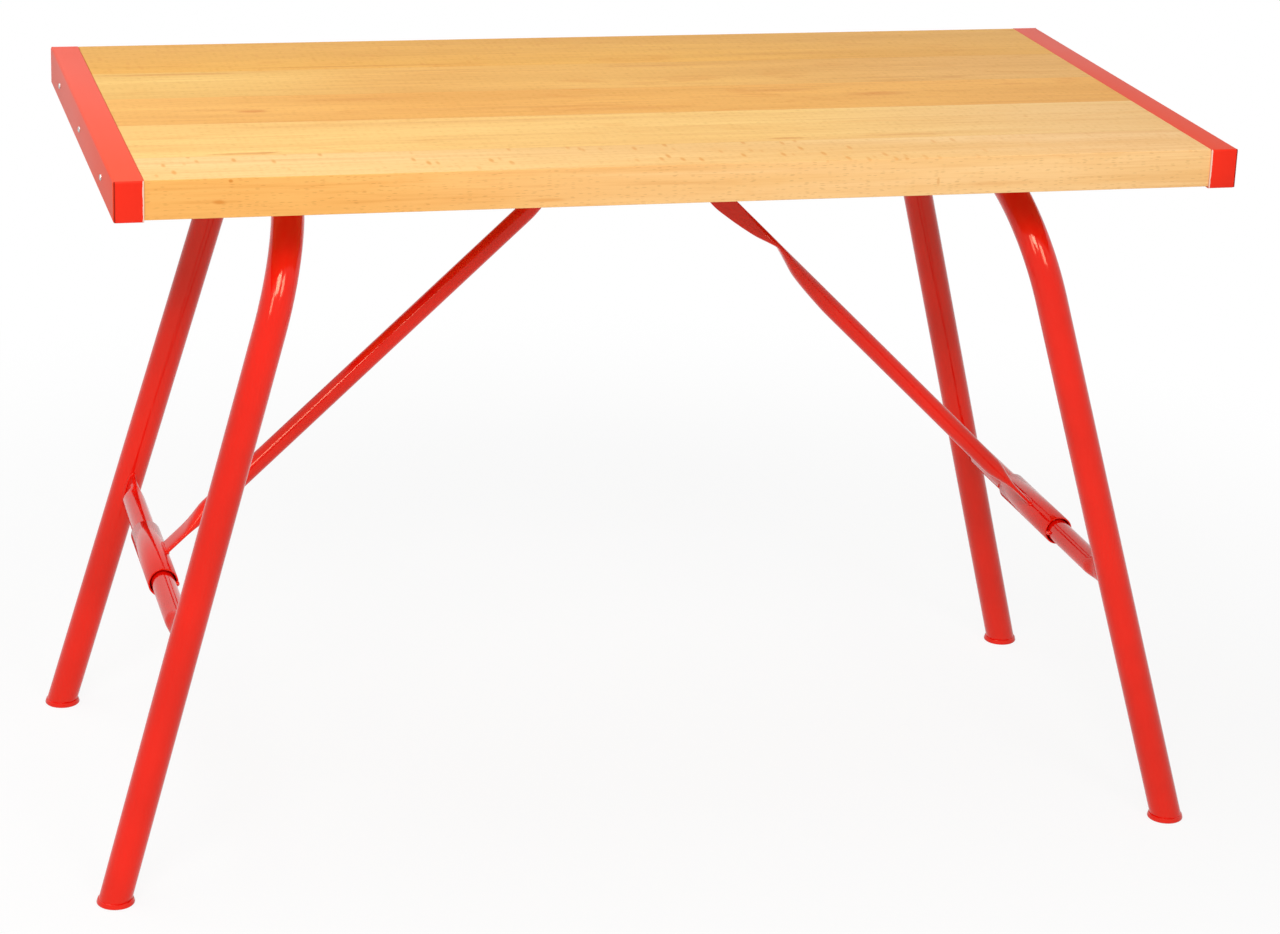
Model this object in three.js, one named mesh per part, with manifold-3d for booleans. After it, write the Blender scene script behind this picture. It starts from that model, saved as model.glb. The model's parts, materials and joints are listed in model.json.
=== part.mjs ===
import * as THREE from 'three';
import { mergeVertices } from 'three/addons/utils/BufferGeometryUtils.js';
import Module from 'manifold-3d';

// Folding workbench, millimetres, +Z up, origin on the floor under the centre of the top.
// The left frame is at -X, the front is at -Y.

const TOP_LENGTH = 1200;
const TOP_DEPTH = 600;
const TOP_HEIGHT = 800;
const SHEET = 1.8;
const WOOD_THICKNESS = 41;
const FLANGE = 30.7;
const REBATE = SHEET + 0.05;
const LINE_GAP = 0.5;
const WOOD_BOTTOM = TOP_HEIGHT - WOOD_THICKNESS;
const BOARD_EDGES = [-300, -213.4, -77.5, 39.9, 159.7, 300];
const TAB_GAP = 0.9;

const LEG_RADIUS = 17.5;
const PIVOT_X = 396.2;
const PIVOT_Z = WOOD_BOTTOM - LEG_RADIUS - 0.4;
const FOOT_X = 604.7;
const LEG_TILT = Math.atan2(FOOT_X - PIVOT_X, PIVOT_Z);
const SPLAY = 0.07845;
const CORNER_Y = 212.8;
const BEND_RADIUS = 143;
const FOOT_HEIGHT = 6;
const FOOT_RADIUS = 20.5;

const CROSSBAR_DISTANCE = 474;
const CROSSBAR_RADIUS = 13;
const SLEEVE_RADIUS = 16.75;
const SLEEVE_WALL = 2;
const SLEEVE_HALF = 77;
const STOP_RADIUS = 2.6;
const STOP_HEIGHT = 4;

const BRACE_RADIUS = 10.5;
const TONGUE_HALF = 11.3;
const TONGUE_THICKNESS = 5.3;
const TIP_HALF = 10.8;
const CATCH_LEFT = [36, TOP_HEIGHT - 59.5];
const CATCH_RIGHT = [109, TOP_HEIGHT - 114];
const HEAD_LEFT = 0.5;
const HEAD_RIGHT = 1;
const CHEEK_RADIUS = 10;
const PIN_RADIUS = 5;
const PIN_CLEARANCE = 0.3;
const CHEEK_Y = 11;
const PLATE = 3;

const SADDLE_Y = 70;
const SADDLE_HALF_WIDTH = 15;
const SADDLE_EAR = 41;
const SCREW_HEAD = 5;
const CHANNEL_HEAD = 3.2;
const SCREW_SHANK = 2.2;
const SCREW_HOLE = 2.4;

const wasm = await Module();
wasm.setup();

const red = () => new THREE.MeshStandardMaterial({ color: 0xe5321f, roughness: 0.3, metalness: 0.1 });
const beech = (tone) => new THREE.MeshStandardMaterial({ color: tone, roughness: 0.5, metalness: 0 });
const steel = () => new THREE.MeshStandardMaterial({ color: 0xb9bcc0, roughness: 0.35, metalness: 0.9 });

function toManifold(geometry) {
  const plain = geometry.clone();
  plain.deleteAttribute('normal');
  plain.deleteAttribute('uv');
  const merged = mergeVertices(plain, 1e-4);
  return new wasm.Manifold(new wasm.Mesh({
    numProp: 3,
    vertProperties: new Float32Array(merged.attributes.position.array),
    triVerts: new Uint32Array(merged.index.array),
  }));
}

function fromManifold(solid) {
  const mesh = solid.getMesh();
  const geometry = new THREE.BufferGeometry();
  geometry.setAttribute('position', new THREE.BufferAttribute(mesh.vertProperties.slice(), 3));
  geometry.setIndex(new THREE.BufferAttribute(mesh.triVerts.slice(), 1));
  geometry.computeVertexNormals();
  return geometry;
}

function combine(base, added, cut) {
  let solid = toManifold(base);
  for (const piece of added) {
    solid = solid.add(toManifold(piece));
  }
  for (const piece of cut) {
    solid = solid.subtract(toManifold(piece));
  }
  return fromManifold(solid);
}

function signedVolume(points, faces) {
  let total = 0;
  for (const [a, b, c] of faces) {
    total += points[a].dot(new THREE.Vector3().crossVectors(points[b], points[c]));
  }
  return total / 6;
}

// Closed skin through rings of equal point count, with a flat fan at both ends.
function loft(rings) {
  const count = rings[0].length;
  const points = rings.flat();
  let faces = [];
  for (let ring = 0; ring + 1 < rings.length; ring += 1) {
    for (let k = 0; k < count; k += 1) {
      const next = (k + 1) % count;
      const a = ring * count + k;
      const b = ring * count + next;
      const c = (ring + 1) * count + next;
      const d = (ring + 1) * count + k;
      faces.push([a, b, c], [a, c, d]);
    }
  }
  const last = (rings.length - 1) * count;
  for (let k = 1; k + 1 < count; k += 1) {
    faces.push([0, k + 1, k], [last, last + k, last + k + 1]);
  }
  if (signedVolume(points, faces) < 0) {
    faces = faces.map(([a, b, c]) => [a, c, b]);
  }
  const geometry = new THREE.BufferGeometry();
  const flat = points.flatMap((p) => [p.x, p.y, p.z]);
  geometry.setAttribute('position', new THREE.Float32BufferAttribute(flat, 3));
  geometry.setIndex(faces.flat());
  geometry.computeVertexNormals();
  return geometry;
}

function ellipseRing(centre, across, up, halfAcross, halfUp, count, power) {
  const ring = [];
  for (let k = 0; k < count; k += 1) {
    const angle = (2 * Math.PI * (k + 0.5)) / count;
    const c = Math.cos(angle);
    const s = Math.sin(angle);
    const u = Math.sign(c) * Math.abs(c) ** power * halfAcross;
    const v = Math.sign(s) * Math.abs(s) ** power * halfUp;
    ring.push(centre.clone().addScaledVector(across, u).addScaledVector(up, v));
  }
  return ring;
}

function box(x0, x1, y0, y1, z0, z1) {
  const geometry = new THREE.BoxGeometry(x1 - x0, y1 - y0, z1 - z0);
  geometry.translate((x0 + x1) / 2, (y0 + y1) / 2, (z0 + z1) / 2);
  return geometry;
}

function lathe(profile, segments) {
  const geometry = new THREE.LatheGeometry(profile.map(([r, h]) => new THREE.Vector2(r, h)), segments);
  const merged = mergeVertices(geometry.deleteAttribute('normal').deleteAttribute('uv'), 1e-4);
  return fromManifold(toManifold(merged));
}

// A turned piece whose profile height runs along the given direction.
function turned(profile, segments, origin, direction) {
  const geometry = lathe(profile, segments);
  const turn = new THREE.Quaternion().setFromUnitVectors(new THREE.Vector3(0, 1, 0), direction);
  geometry.applyQuaternion(turn);
  geometry.translate(origin.x, origin.y, origin.z);
  return geometry;
}

function rod(radius, length, segments, origin, direction) {
  return turned([[0, 0], [radius, 0], [radius, length], [0, length]], segments, origin, direction);
}

function prismAlongY(outline, y0, y1) {
  const shape = new THREE.Shape(outline.map(([x, z]) => new THREE.Vector2(x, z)));
  const geometry = new THREE.ExtrudeGeometry(shape, { depth: y1 - y0, bevelEnabled: false });
  geometry.rotateX(Math.PI / 2);
  geometry.translate(0, y1, 0);
  return geometry;
}

const bench = new THREE.Group();
bench.name = 'folding_workbench';

function add(name, geometry, material) {
  const mesh = new THREE.Mesh(geometry, material);
  mesh.name = name;
  bench.add(mesh);
}

const Y_AXIS = new THREE.Vector3(0, 1, 0);
const DOWN = new THREE.Vector3(0, 0, -1);
const UP = new THREE.Vector3(0, 0, 1);

// Worktop boards, rebated at both ends so that the channel flanges lie flush.
const tones = [0xe0b070, 0xdca766, 0xe3b478, 0xd8a25f, 0xe1b174];
for (let k = 0; k < 5; k += 1) {
  const end = TOP_LENGTH / 2 - SHEET - 0.2;
  const front = BOARD_EDGES[k];
  const rear = BOARD_EDGES[k + 1];
  const shoulder = TOP_LENGTH / 2 - FLANGE - LINE_GAP;
  const plank = box(-end, end, front, rear, WOOD_BOTTOM, TOP_HEIGHT);
  const rebates = [-1, 1].map((side) => {
    const [x0, x1] = side > 0 ? [shoulder, end + 5] : [-end - 5, -shoulder];
    return box(x0, x1, front - 5, rear + 5, TOP_HEIGHT - REBATE, TOP_HEIGHT + 5);
  });
  add(`board_${k + 1}`, combine(plank, [], rebates), beech(tones[k]));
}

const screwProfile = (grip, head) => [
  [0, -grip], [SCREW_SHANK, -grip], [SCREW_SHANK, 0.05], [head, 0.05],
  [head, 0.22 * head], [0.72 * head, 0.5 * head], [0, 0.6 * head],
];

// End channels: a web, two flanges and a tab folded down over each end.
for (const side of [-1, 1]) {
  const word = side < 0 ? 'left' : 'right';
  const outer = TOP_LENGTH / 2;
  const half = TOP_DEPTH / 2 + 0.1;
  const top = TOP_HEIGHT;
  const bottom = WOOD_BOTTOM - SHEET;
  const lip = outer - FLANGE;
  const under = top - SHEET;
  const profile = [[outer, bottom], [outer, top], [lip, top], [lip, under], [outer - SHEET, under],
    [outer - SHEET, WOOD_BOTTOM], [lip, WOOD_BOTTOM], [lip, bottom]];
  const outline = side > 0 ? profile : profile.map(([x, z]) => [-x, z]).reverse();
  const channel = prismAlongY(outline, -half, half);
  const slab = (x0, x1, y0, y1, z0, z1) => {
    const [left, right] = side > 0 ? [x0, x1] : [-x1, -x0];
    return box(left, right, y0, y1, z0, z1);
  };
  const hair = 0.03;
  const tabStart = half + 0.3;
  const tabEnd = tabStart + SHEET;
  const tabs = [];
  for (const end of [-1, 1]) {
    const range = (y0, y1) => (end > 0 ? [y0, y1] : [-y1, -y0]);
    const bend = range(half - 2, tabEnd);
    const tab = range(tabStart, tabEnd - hair);
    tabs.push(slab(lip + hair, outer - hair, ...bend, under + hair, top - hair));
    tabs.push(slab(lip + 2 * hair, outer - TAB_GAP, ...tab, bottom + TAB_GAP, top - 0.4));
  }
  const outward = new THREE.Vector3(side, 0, 0);
  const holes = [];
  for (const y of [-200, 0, 200]) {
    const start = new THREE.Vector3(side * (outer - 2 * SHEET), y, top - 22);
    holes.push(rod(SCREW_HOLE, 4 * SHEET, 12, start, outward));
  }
  add(`end_channel_${word}`, combine(channel, tabs, holes), red());
  [-200, 0, 200].forEach((y, k) => {
    const seat = new THREE.Vector3(side * outer, y, top - 22);
    const screw = turned(screwProfile(SHEET, CHANNEL_HEAD), 12, seat, outward);
    add(`channel_screw_${word}_${k + 1}`, screw, steel());
  });
}

// Saddle straps that hold the top bars, with their screws.
for (const side of [-1, 1]) {
  const word = side < 0 ? 'left' : 'right';
  const inner = LEG_RADIUS + 0.4;
  const outerRadius = inner + PLATE;
  const centre = side * PIVOT_X;
  const outline = [];
  const earTop = WOOD_BOTTOM;
  const earBottom = WOOD_BOTTOM - PLATE;
  outline.push([centre - SADDLE_EAR, earTop], [centre - SADDLE_EAR, earBottom]);
  outline.push([centre - outerRadius, earBottom]);
  for (let k = 0; k <= 14; k += 1) {
    const angle = Math.PI + (Math.PI * k) / 14;
    outline.push([centre + outerRadius * Math.cos(angle), PIVOT_Z + outerRadius * Math.sin(angle)]);
  }
  outline.push([centre + outerRadius, earBottom], [centre + SADDLE_EAR, earBottom]);
  outline.push([centre + SADDLE_EAR, earTop], [centre + inner, earTop]);
  for (let k = 0; k <= 14; k += 1) {
    const angle = 2 * Math.PI - (Math.PI * k) / 14;
    const reach = inner / Math.cos(Math.PI / 28);
    outline.push([centre + reach * Math.cos(angle), PIVOT_Z + reach * Math.sin(angle)]);
  }
  outline.push([centre - inner, earTop]);
  [-1, 1].forEach((row) => {
    const y = row * SADDLE_Y;
    const place = row < 0 ? 'front' : 'rear';
    const strap = prismAlongY(outline, y - SADDLE_HALF_WIDTH, y + SADDLE_HALF_WIDTH);
    const holes = [-31, 31].map((dx) => rod(SCREW_HOLE, 9, 12,
      new THREE.Vector3(centre + dx, y, earBottom - 3), UP));
    add(`saddle_${word}_${place}`, combine(strap, [], holes), steel());
    [-31, 31].forEach((dx, k) => {
      const seat = new THREE.Vector3(centre + dx, y, earBottom);
      const screw = turned(screwProfile(PLATE, SCREW_HEAD), 12, seat, DOWN);
      add(`saddle_screw_${word}_${place}_${k + 1}`, screw, steel());
    });
  });
}

// Leg frames, braces and catches. Plane axes: out along the leg, Y across, normal facing inwards.
for (const side of [-1, 1]) {
  const word = side < 0 ? 'left' : 'right';
  const pivot = new THREE.Vector3(side * PIVOT_X, 0, PIVOT_Z);
  const along = new THREE.Vector3(side * Math.sin(LEG_TILT), 0, -Math.cos(LEG_TILT));
  const normal = new THREE.Vector3().crossVectors(along, Y_AXIS).normalize();
  const at = (y, distance) => pivot.clone().addScaledVector(along, distance).addScaledVector(Y_AXIS, y);

  const legAngle = Math.atan(SPLAY);
  const setback = BEND_RADIUS / Math.tan((Math.PI / 2 + legAngle) / 2);
  const barHalf = CORNER_Y - setback;
  const footDistance = (PIVOT_Z - FOOT_HEIGHT) / Math.cos(LEG_TILT);
  const turns = 9;
  const stations = [];
  const halfPath = [[0, 0, Math.PI / 2]];
  for (let k = 0; k <= turns; k += 1) {
    const heading = (k / turns) * (Math.PI / 2 - legAngle);
    const y = barHalf + BEND_RADIUS * Math.sin(heading);
    const distance = BEND_RADIUS * (1 - Math.cos(heading));
    halfPath.push([y, distance, Math.PI / 2 - heading]);
  }
  halfPath.push([CORNER_Y + SPLAY * footDistance, footDistance, legAngle]);
  for (let k = halfPath.length - 1; k >= 1; k -= 1) {
    const [y, distance, lean] = halfPath[k];
    stations.push({ y: -y, distance, ty: Math.sin(lean), td: -Math.cos(lean) });
  }
  for (let k = 1; k < halfPath.length; k += 1) {
    const [y, distance, lean] = halfPath[k];
    stations.push({ y, distance, ty: Math.sin(lean), td: Math.cos(lean) });
  }
  const legRings = stations.map(({ y, distance, ty, td }, k) => {
    const tangent = Y_AXIS.clone().multiplyScalar(ty).addScaledVector(along, td).normalize();
    const across = new THREE.Vector3().crossVectors(tangent, normal).normalize();
    const ring = ellipseRing(at(y, distance), normal, across, LEG_RADIUS, LEG_RADIUS, 20, 1);
    if (k === 0 || k === stations.length - 1) {
      ring.forEach((p) => p.addScaledVector(tangent, (FOOT_HEIGHT - p.z) / tangent.z));
    }
    return ring;
  });
  add(`leg_tube_${word}`, loft(legRings), red());

  [-1, 1].forEach((row) => {
    const place = row < 0 ? 'front' : 'rear';
    const end = at(row * (CORNER_Y + SPLAY * footDistance), footDistance);
    const profile = [[0, 0], [FOOT_RADIUS - 1.2, 0], [FOOT_RADIUS, 1.2], [FOOT_RADIUS, 2.6],
      [FOOT_RADIUS - 0.6, 4.2], [FOOT_RADIUS - 0.9, FOOT_HEIGHT], [0, FOOT_HEIGHT]];
    add(`foot_cap_${word}_${place}`, turned(profile, 24, new THREE.Vector3(end.x, end.y, 0), UP), red());
  });

  const barCentre = at(0, CROSSBAR_DISTANCE);
  const reach = CORNER_Y + SPLAY * CROSSBAR_DISTANCE - LEG_RADIUS / Math.cos(legAngle) - 0.2;
  const barSections = [
    [1, 3.2, 18.5, 0.75],
    [0.945, 3.6, 18, 0.75],
    [0.88, 7, 16.5, 0.9],
    [0.8, CROSSBAR_RADIUS, CROSSBAR_RADIUS, 1],
  ];
  const mirrored = barSections.map((s) => [-s[0], ...s.slice(1)]);
  const barStations = [...mirrored, ...barSections.slice().reverse()];
  const barRings = barStations.map(([share, thick, tall, power]) => {
    const middle = barCentre.clone().addScaledVector(Y_AXIS, share * reach);
    const ring = ellipseRing(middle, normal, along, thick, tall, 20, power);
    if (Math.abs(share) === 1) {
      ring.forEach((p) => {
        const down = p.clone().sub(barCentre).dot(along);
        p.y += share * SPLAY * down;
      });
    }
    return ring;
  });
  add(`crossbar_${word}`, loft(barRings), red());

  const inward = new THREE.Vector3(-side, 0, 0);
  [-1, 1].forEach((row) => {
    const place = row < 0 ? 'front' : 'rear';
    const root = barCentre.clone().addScaledVector(inward, CROSSBAR_RADIUS + 0.05);
    root.y = row * (SLEEVE_HALF + 2 + STOP_RADIUS);
    const profile = [[0, 0], [STOP_RADIUS, 0], [STOP_RADIUS, STOP_HEIGHT - 1],
      [STOP_RADIUS * 0.6, STOP_HEIGHT], [0, STOP_HEIGHT]];
    add(`sleeve_stop_${word}_${place}`, turned(profile, 12, root, inward), red());
  });

  const ring = new THREE.Shape();
  const hole = new THREE.Path();
  for (let k = 0; k < 24; k += 1) {
    const angle = (2 * Math.PI * (k + 0.5)) / 24;
    const c = Math.cos(angle);
    const s = Math.sin(angle);
    const inside = SLEEVE_RADIUS - SLEEVE_WALL;
    if (k === 0) {
      ring.moveTo(SLEEVE_RADIUS * c, SLEEVE_RADIUS * s);
      hole.moveTo(inside * c, inside * s);
    } else {
      ring.lineTo(SLEEVE_RADIUS * c, SLEEVE_RADIUS * s);
      hole.lineTo(inside * c, inside * s);
    }
  }
  ring.holes.push(hole);
  const sleeve = new THREE.ExtrudeGeometry(ring, { depth: 2 * SLEEVE_HALF, bevelEnabled: false });
  sleeve.rotateX(Math.PI / 2);
  sleeve.translate(barCentre.x, SLEEVE_HALF, barCentre.z);
  add(`sleeve_${word}`, sleeve, red());

  const [catchX, catchZ] = side < 0 ? CATCH_LEFT : CATCH_RIGHT;
  const head = side < 0 ? HEAD_LEFT : HEAD_RIGHT;
  const catchPoint = new THREE.Vector3(side * catchX, 0, catchZ);
  const run = catchPoint.clone().sub(barCentre);
  const length = run.length();
  run.normalize();
  const rise = new THREE.Vector3(side * run.z, 0, -side * run.x);
  const offset = BRACE_RADIUS - TONGUE_THICKNESS / 2;
  const flat = TONGUE_THICKNESS / 2;
  const sections = [
    [SLEEVE_RADIUS + 0.15, 0, 0, 15, 2.8, 0.6],
    [44, 0, 0, 15, 2.9, 0.6],
    [58, 0, 0, 13.5, 5.5, 0.85],
    [84, 0, 0, BRACE_RADIUS, BRACE_RADIUS, 1],
    [length - 205 * head, 0, 0, BRACE_RADIUS, BRACE_RADIUS, 1],
    [length - 172 * head, 0, 0.8, 10.6, 9.7, 1],
    [length - 140 * head, 0, 2.4, 11.2, 8.1, 0.97],
    [length - 118 * head, 0.3, 5.3, 11, 5.2, 0.92],
    [length - 106 * head, 0.8, 7, 10, 3.5, 0.88],
    [length - 100 * head, 1.2, 7.6, 9.2, 2.9, 0.85],
    [length - 92 * head, 2.3, 6.6, 7.6, 3.9, 0.85],
    [length - 74 * head, 5, 3.7, 4.8, 6.8, 0.85],
    [length - 52 * head, 7.2, 1.5, 3.2, 9, 0.75],
    [length - 36 * head, offset, 0.3, flat, 10.2, 0.6],
    [length - 14, offset, -0.8, flat, TONGUE_HALF, 0.6],
    [length + 2, offset, -0.3, flat, TIP_HALF, 0.6],
    [length + 8, offset, 0, flat, TIP_HALF * 0.8, 0.6],
    [length + 12, offset, 0, flat, TIP_HALF * 0.42, 0.6],
  ];
  const braceRings = sections.map(([distance, shift, lift, wide, thick, power]) => {
    const middle = barCentre.clone().addScaledVector(run, distance);
    middle.addScaledVector(Y_AXIS, shift).addScaledVector(rise, lift);
    return ellipseRing(middle, Y_AXIS, rise, wide, thick, 20, power);
  });
  const holeRadius = PIN_RADIUS + PIN_CLEARANCE;
  const atCatch = (y) => new THREE.Vector3(catchPoint.x, y, catchPoint.z);
  const pinHole = rod(holeRadius, 20, 16, atCatch(0), Y_AXIS);
  add(`brace_${word}`, combine(loft(braceRings), [], [pinHole]), red());

  const cheekEnd = CHEEK_Y + PLATE;
  const near = catchX - CHEEK_RADIUS;
  const far = catchX + 36;
  const cheek = [];
  for (let k = 0; k <= 12; k += 1) {
    const angle = Math.PI + (Math.PI * k) / 12;
    cheek.push([catchX + CHEEK_RADIUS * Math.cos(angle), catchZ + CHEEK_RADIUS * Math.sin(angle)]);
  }
  cheek.push([far, WOOD_BOTTOM - PLATE - 14], [far, WOOD_BOTTOM], [near, WOOD_BOTTOM]);
  const outline = side > 0 ? cheek : cheek.map(([x, z]) => [-x, z]).reverse();
  const wall = prismAlongY(outline, CHEEK_Y, cheekEnd);
  const [plateLeft, plateRight] = side > 0 ? [near, far] : [-far, -near];
  const plate = box(plateLeft, plateRight, cheekEnd - 0.5, 62, WOOD_BOTTOM - PLATE, WOOD_BOTTOM);
  const guide = rod(8.5, 24.5, 20, atCatch(cheekEnd - 0.5), Y_AXIS);
  const bore = rod(holeRadius, 40, 16, atCatch(CHEEK_Y - 5), Y_AXIS);
  const spots = [catchX + 18, catchX + 30].map(
    (x) => new THREE.Vector3(side * x, 44, WOOD_BOTTOM - PLATE));
  const plateHoles = spots.map(
    (spot) => rod(SCREW_HOLE, 9, 12, spot.clone().addScaledVector(DOWN, 3), UP));
  add(`catch_bracket_${word}`, combine(wall, [plate, guide], [bore, ...plateHoles]), steel());
  spots.forEach((spot, k) => {
    add(`catch_screw_${word}_${k + 1}`, turned(screwProfile(PLATE, SCREW_HEAD), 12, spot, DOWN), steel());
  });

  const guideEnd = cheekEnd + 24;
  const pinStart = new THREE.Vector3(catchPoint.x, 0, catchPoint.z);
  const pinProfile = [[0, 3.6], [PIN_RADIUS - 1, 3.6], [PIN_RADIUS, 4.6], [PIN_RADIUS, guideEnd + 0.4],
    [11, guideEnd + 0.4], [12, guideEnd + 1.6], [12, guideEnd + 9], [10.5, guideEnd + 11],
    [0, guideEnd + 11]];
  add(`pull_pin_${word}`, turned(pinProfile, 16, pinStart, Y_AXIS), steel());
}

export default bench;
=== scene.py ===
"""Folding workbench: finishes, finer pieces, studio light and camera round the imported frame."""

from __future__ import annotations

import json
import logging
import math
from dataclasses import dataclass, field
from enum import Enum
from typing import Any, Callable, Sequence

import bmesh
import bpy
from mathutils import Matrix, Vector

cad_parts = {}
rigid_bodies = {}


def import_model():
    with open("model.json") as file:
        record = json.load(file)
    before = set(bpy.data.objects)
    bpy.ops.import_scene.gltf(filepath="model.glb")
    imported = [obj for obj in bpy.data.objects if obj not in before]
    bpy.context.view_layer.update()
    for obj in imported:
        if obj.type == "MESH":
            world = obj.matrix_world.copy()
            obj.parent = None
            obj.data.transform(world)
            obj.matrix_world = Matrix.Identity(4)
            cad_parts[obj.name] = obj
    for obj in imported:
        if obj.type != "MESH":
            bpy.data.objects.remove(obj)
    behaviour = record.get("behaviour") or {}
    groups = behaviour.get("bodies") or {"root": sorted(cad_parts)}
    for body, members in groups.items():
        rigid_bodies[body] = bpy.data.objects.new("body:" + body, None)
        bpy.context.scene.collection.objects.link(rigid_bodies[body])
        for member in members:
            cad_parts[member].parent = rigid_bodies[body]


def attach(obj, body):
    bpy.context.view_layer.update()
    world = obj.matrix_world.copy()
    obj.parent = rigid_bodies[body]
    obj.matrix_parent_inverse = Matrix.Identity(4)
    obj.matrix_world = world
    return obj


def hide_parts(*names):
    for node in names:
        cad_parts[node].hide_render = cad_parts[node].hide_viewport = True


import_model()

log = logging.getLogger("workbench")
Colour = tuple[float, float, float]
Place = tuple[float, float, float]
Point = tuple[float, float]
Ring = list[Vector]
UP = Vector((0.0, 0.0, 1.0))
DOWN = Vector((0.0, 0.0, -1.0))
ACROSS = Vector((0.0, 1.0, 0.0))
WHITE = (1.0, 1.0, 1.0, 1.0)
PLAIN = (1.0, 1.0, 1.0)
SMOOTH_ANGLE = 34.0
BEAD_ANGLE = 70.0
BEVEL_ANGLE = 40.0
MERGE = 1e-7
TOP = 0.8
UNDERSIDE = 0.759
PLATE = 0.003
WEB_X = 0.6
PIVOT_X = 0.3962
PIVOT_Z = 0.7411
SADDLE_Y = 0.07
JOINTS = (-0.2134, -0.0775, 0.0399, 0.1597)


class Sign(Enum):
    """A direction along an axis, by its sign."""

    @property
    def word(self) -> str:
        """Its word in node and body names."""
        return self.name.lower()


class Side(Sign):
    """The two ends of the bench, along X."""

    LEFT = -1
    RIGHT = 1


class Row(Sign):
    """Front and rear, along Y."""

    FRONT = -1
    REAR = 1


class Steel(Enum):
    """Bare metal finishes: slot name, grey level, roughness and streak count per metre."""

    ZINC = ("zinc_steel", (0.60, 0.61, 0.63), 0.36, 240.0)
    SCREW = ("screw_steel", (0.66, 0.65, 0.63), 0.26, 900.0)
    PIN = ("pin_steel", (0.56, 0.57, 0.58), 0.30, 600.0)


def tinted(colour: Colour, factors: Colour) -> Colour:
    """A colour with each channel multiplied by its factor."""
    return tuple(value * factor for value, factor in zip(colour, factors))


def shaded(colour: Colour, share: float) -> Colour:
    """A colour with all its channels multiplied by one share."""
    return tinted(colour, (share, share, share))


def math_operator(operation: str, reflected: bool = False) -> Callable[[Wire, Any], Wire]:
    """Makes an operator of Wire that adds one Math node.

    Args:
        operation: The Math node's operation.
        reflected: Puts the wire second.

    Returns:
        The operator's method.
    """
    def method(self: Wire, other: Any) -> Wire:
        """Adds the node."""
        return self.calculate(operation, *((other, self) if reflected else (self, other)))

    return method


class Wire:
    """A value in a node tree, with operators that add Math nodes."""

    __add__ = math_operator("ADD")
    __radd__ = math_operator("ADD", True)
    __sub__ = math_operator("SUBTRACT")
    __rsub__ = math_operator("SUBTRACT", True)
    __mul__ = math_operator("MULTIPLY")
    __rmul__ = math_operator("MULTIPLY", True)
    __truediv__ = math_operator("DIVIDE")
    __rtruediv__ = math_operator("DIVIDE", True)
    __pow__ = math_operator("POWER")
    __rpow__ = math_operator("POWER", True)
    most = math_operator("MAXIMUM")

    def __init__(self, graph: Graph, socket: Any) -> None:
        """Keeps the graph and the output socket."""
        self.graph = graph
        self.socket = socket

    def calculate(self, operation: str, *values: Any) -> Wire:
        """Adds one Math node, with its inputs in order as wires or numbers."""
        return self.graph.node("ShaderNodeMath", {"operation": operation}, dict(enumerate(values)))

    def __abs__(self) -> Wire:
        """Absolute value."""
        return self.calculate("ABSOLUTE", self)

    def step(self, low: float, high: float) -> Wire:
        """A smooth step from 0 to 1, or from 1 to 0 where low is above high.

        Args:
            low: Where the step leaves 0.
            high: Where it reaches 1.

        Returns:
            The stepped value.
        """
        ends = (low, high, 0.0, 1.0) if low < high else (high, low, 1.0, 0.0)
        values = {"Value": self, "From Min": ends[0], "From Max": ends[1]}
        values.update({"To Min": ends[2], "To Max": ends[3]})
        return self.graph.node("ShaderNodeMapRange", {"interpolation_type": "SMOOTHSTEP"}, values)


class Graph:
    """A node tree that is filled by one method."""

    def __init__(self, tree: bpy.types.NodeTree) -> None:
        """Takes an empty node tree."""
        self.tree = tree

    def node(self, kind: str, settings: dict[str, Any], values: dict[Any, Any], output: Any = 0) -> Wire:
        """Adds one node.

        Args:
            kind: The node's type name.
            settings: Properties, set first.
            values: Socket name or number to a number, colour or wire.
            output: The output socket's name or number.

        Returns:
            The chosen output.
        """
        made = self.tree.nodes.new(kind)
        for key, value in settings.items():
            setattr(made, key, value)
        for key, value in values.items():
            if isinstance(value, Wire):
                self.tree.links.new(value.socket, made.inputs[key])
            else:
                made.inputs[key].default_value = value
        return Wire(self, made.outputs[output] if len(made.outputs) else None)


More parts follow.
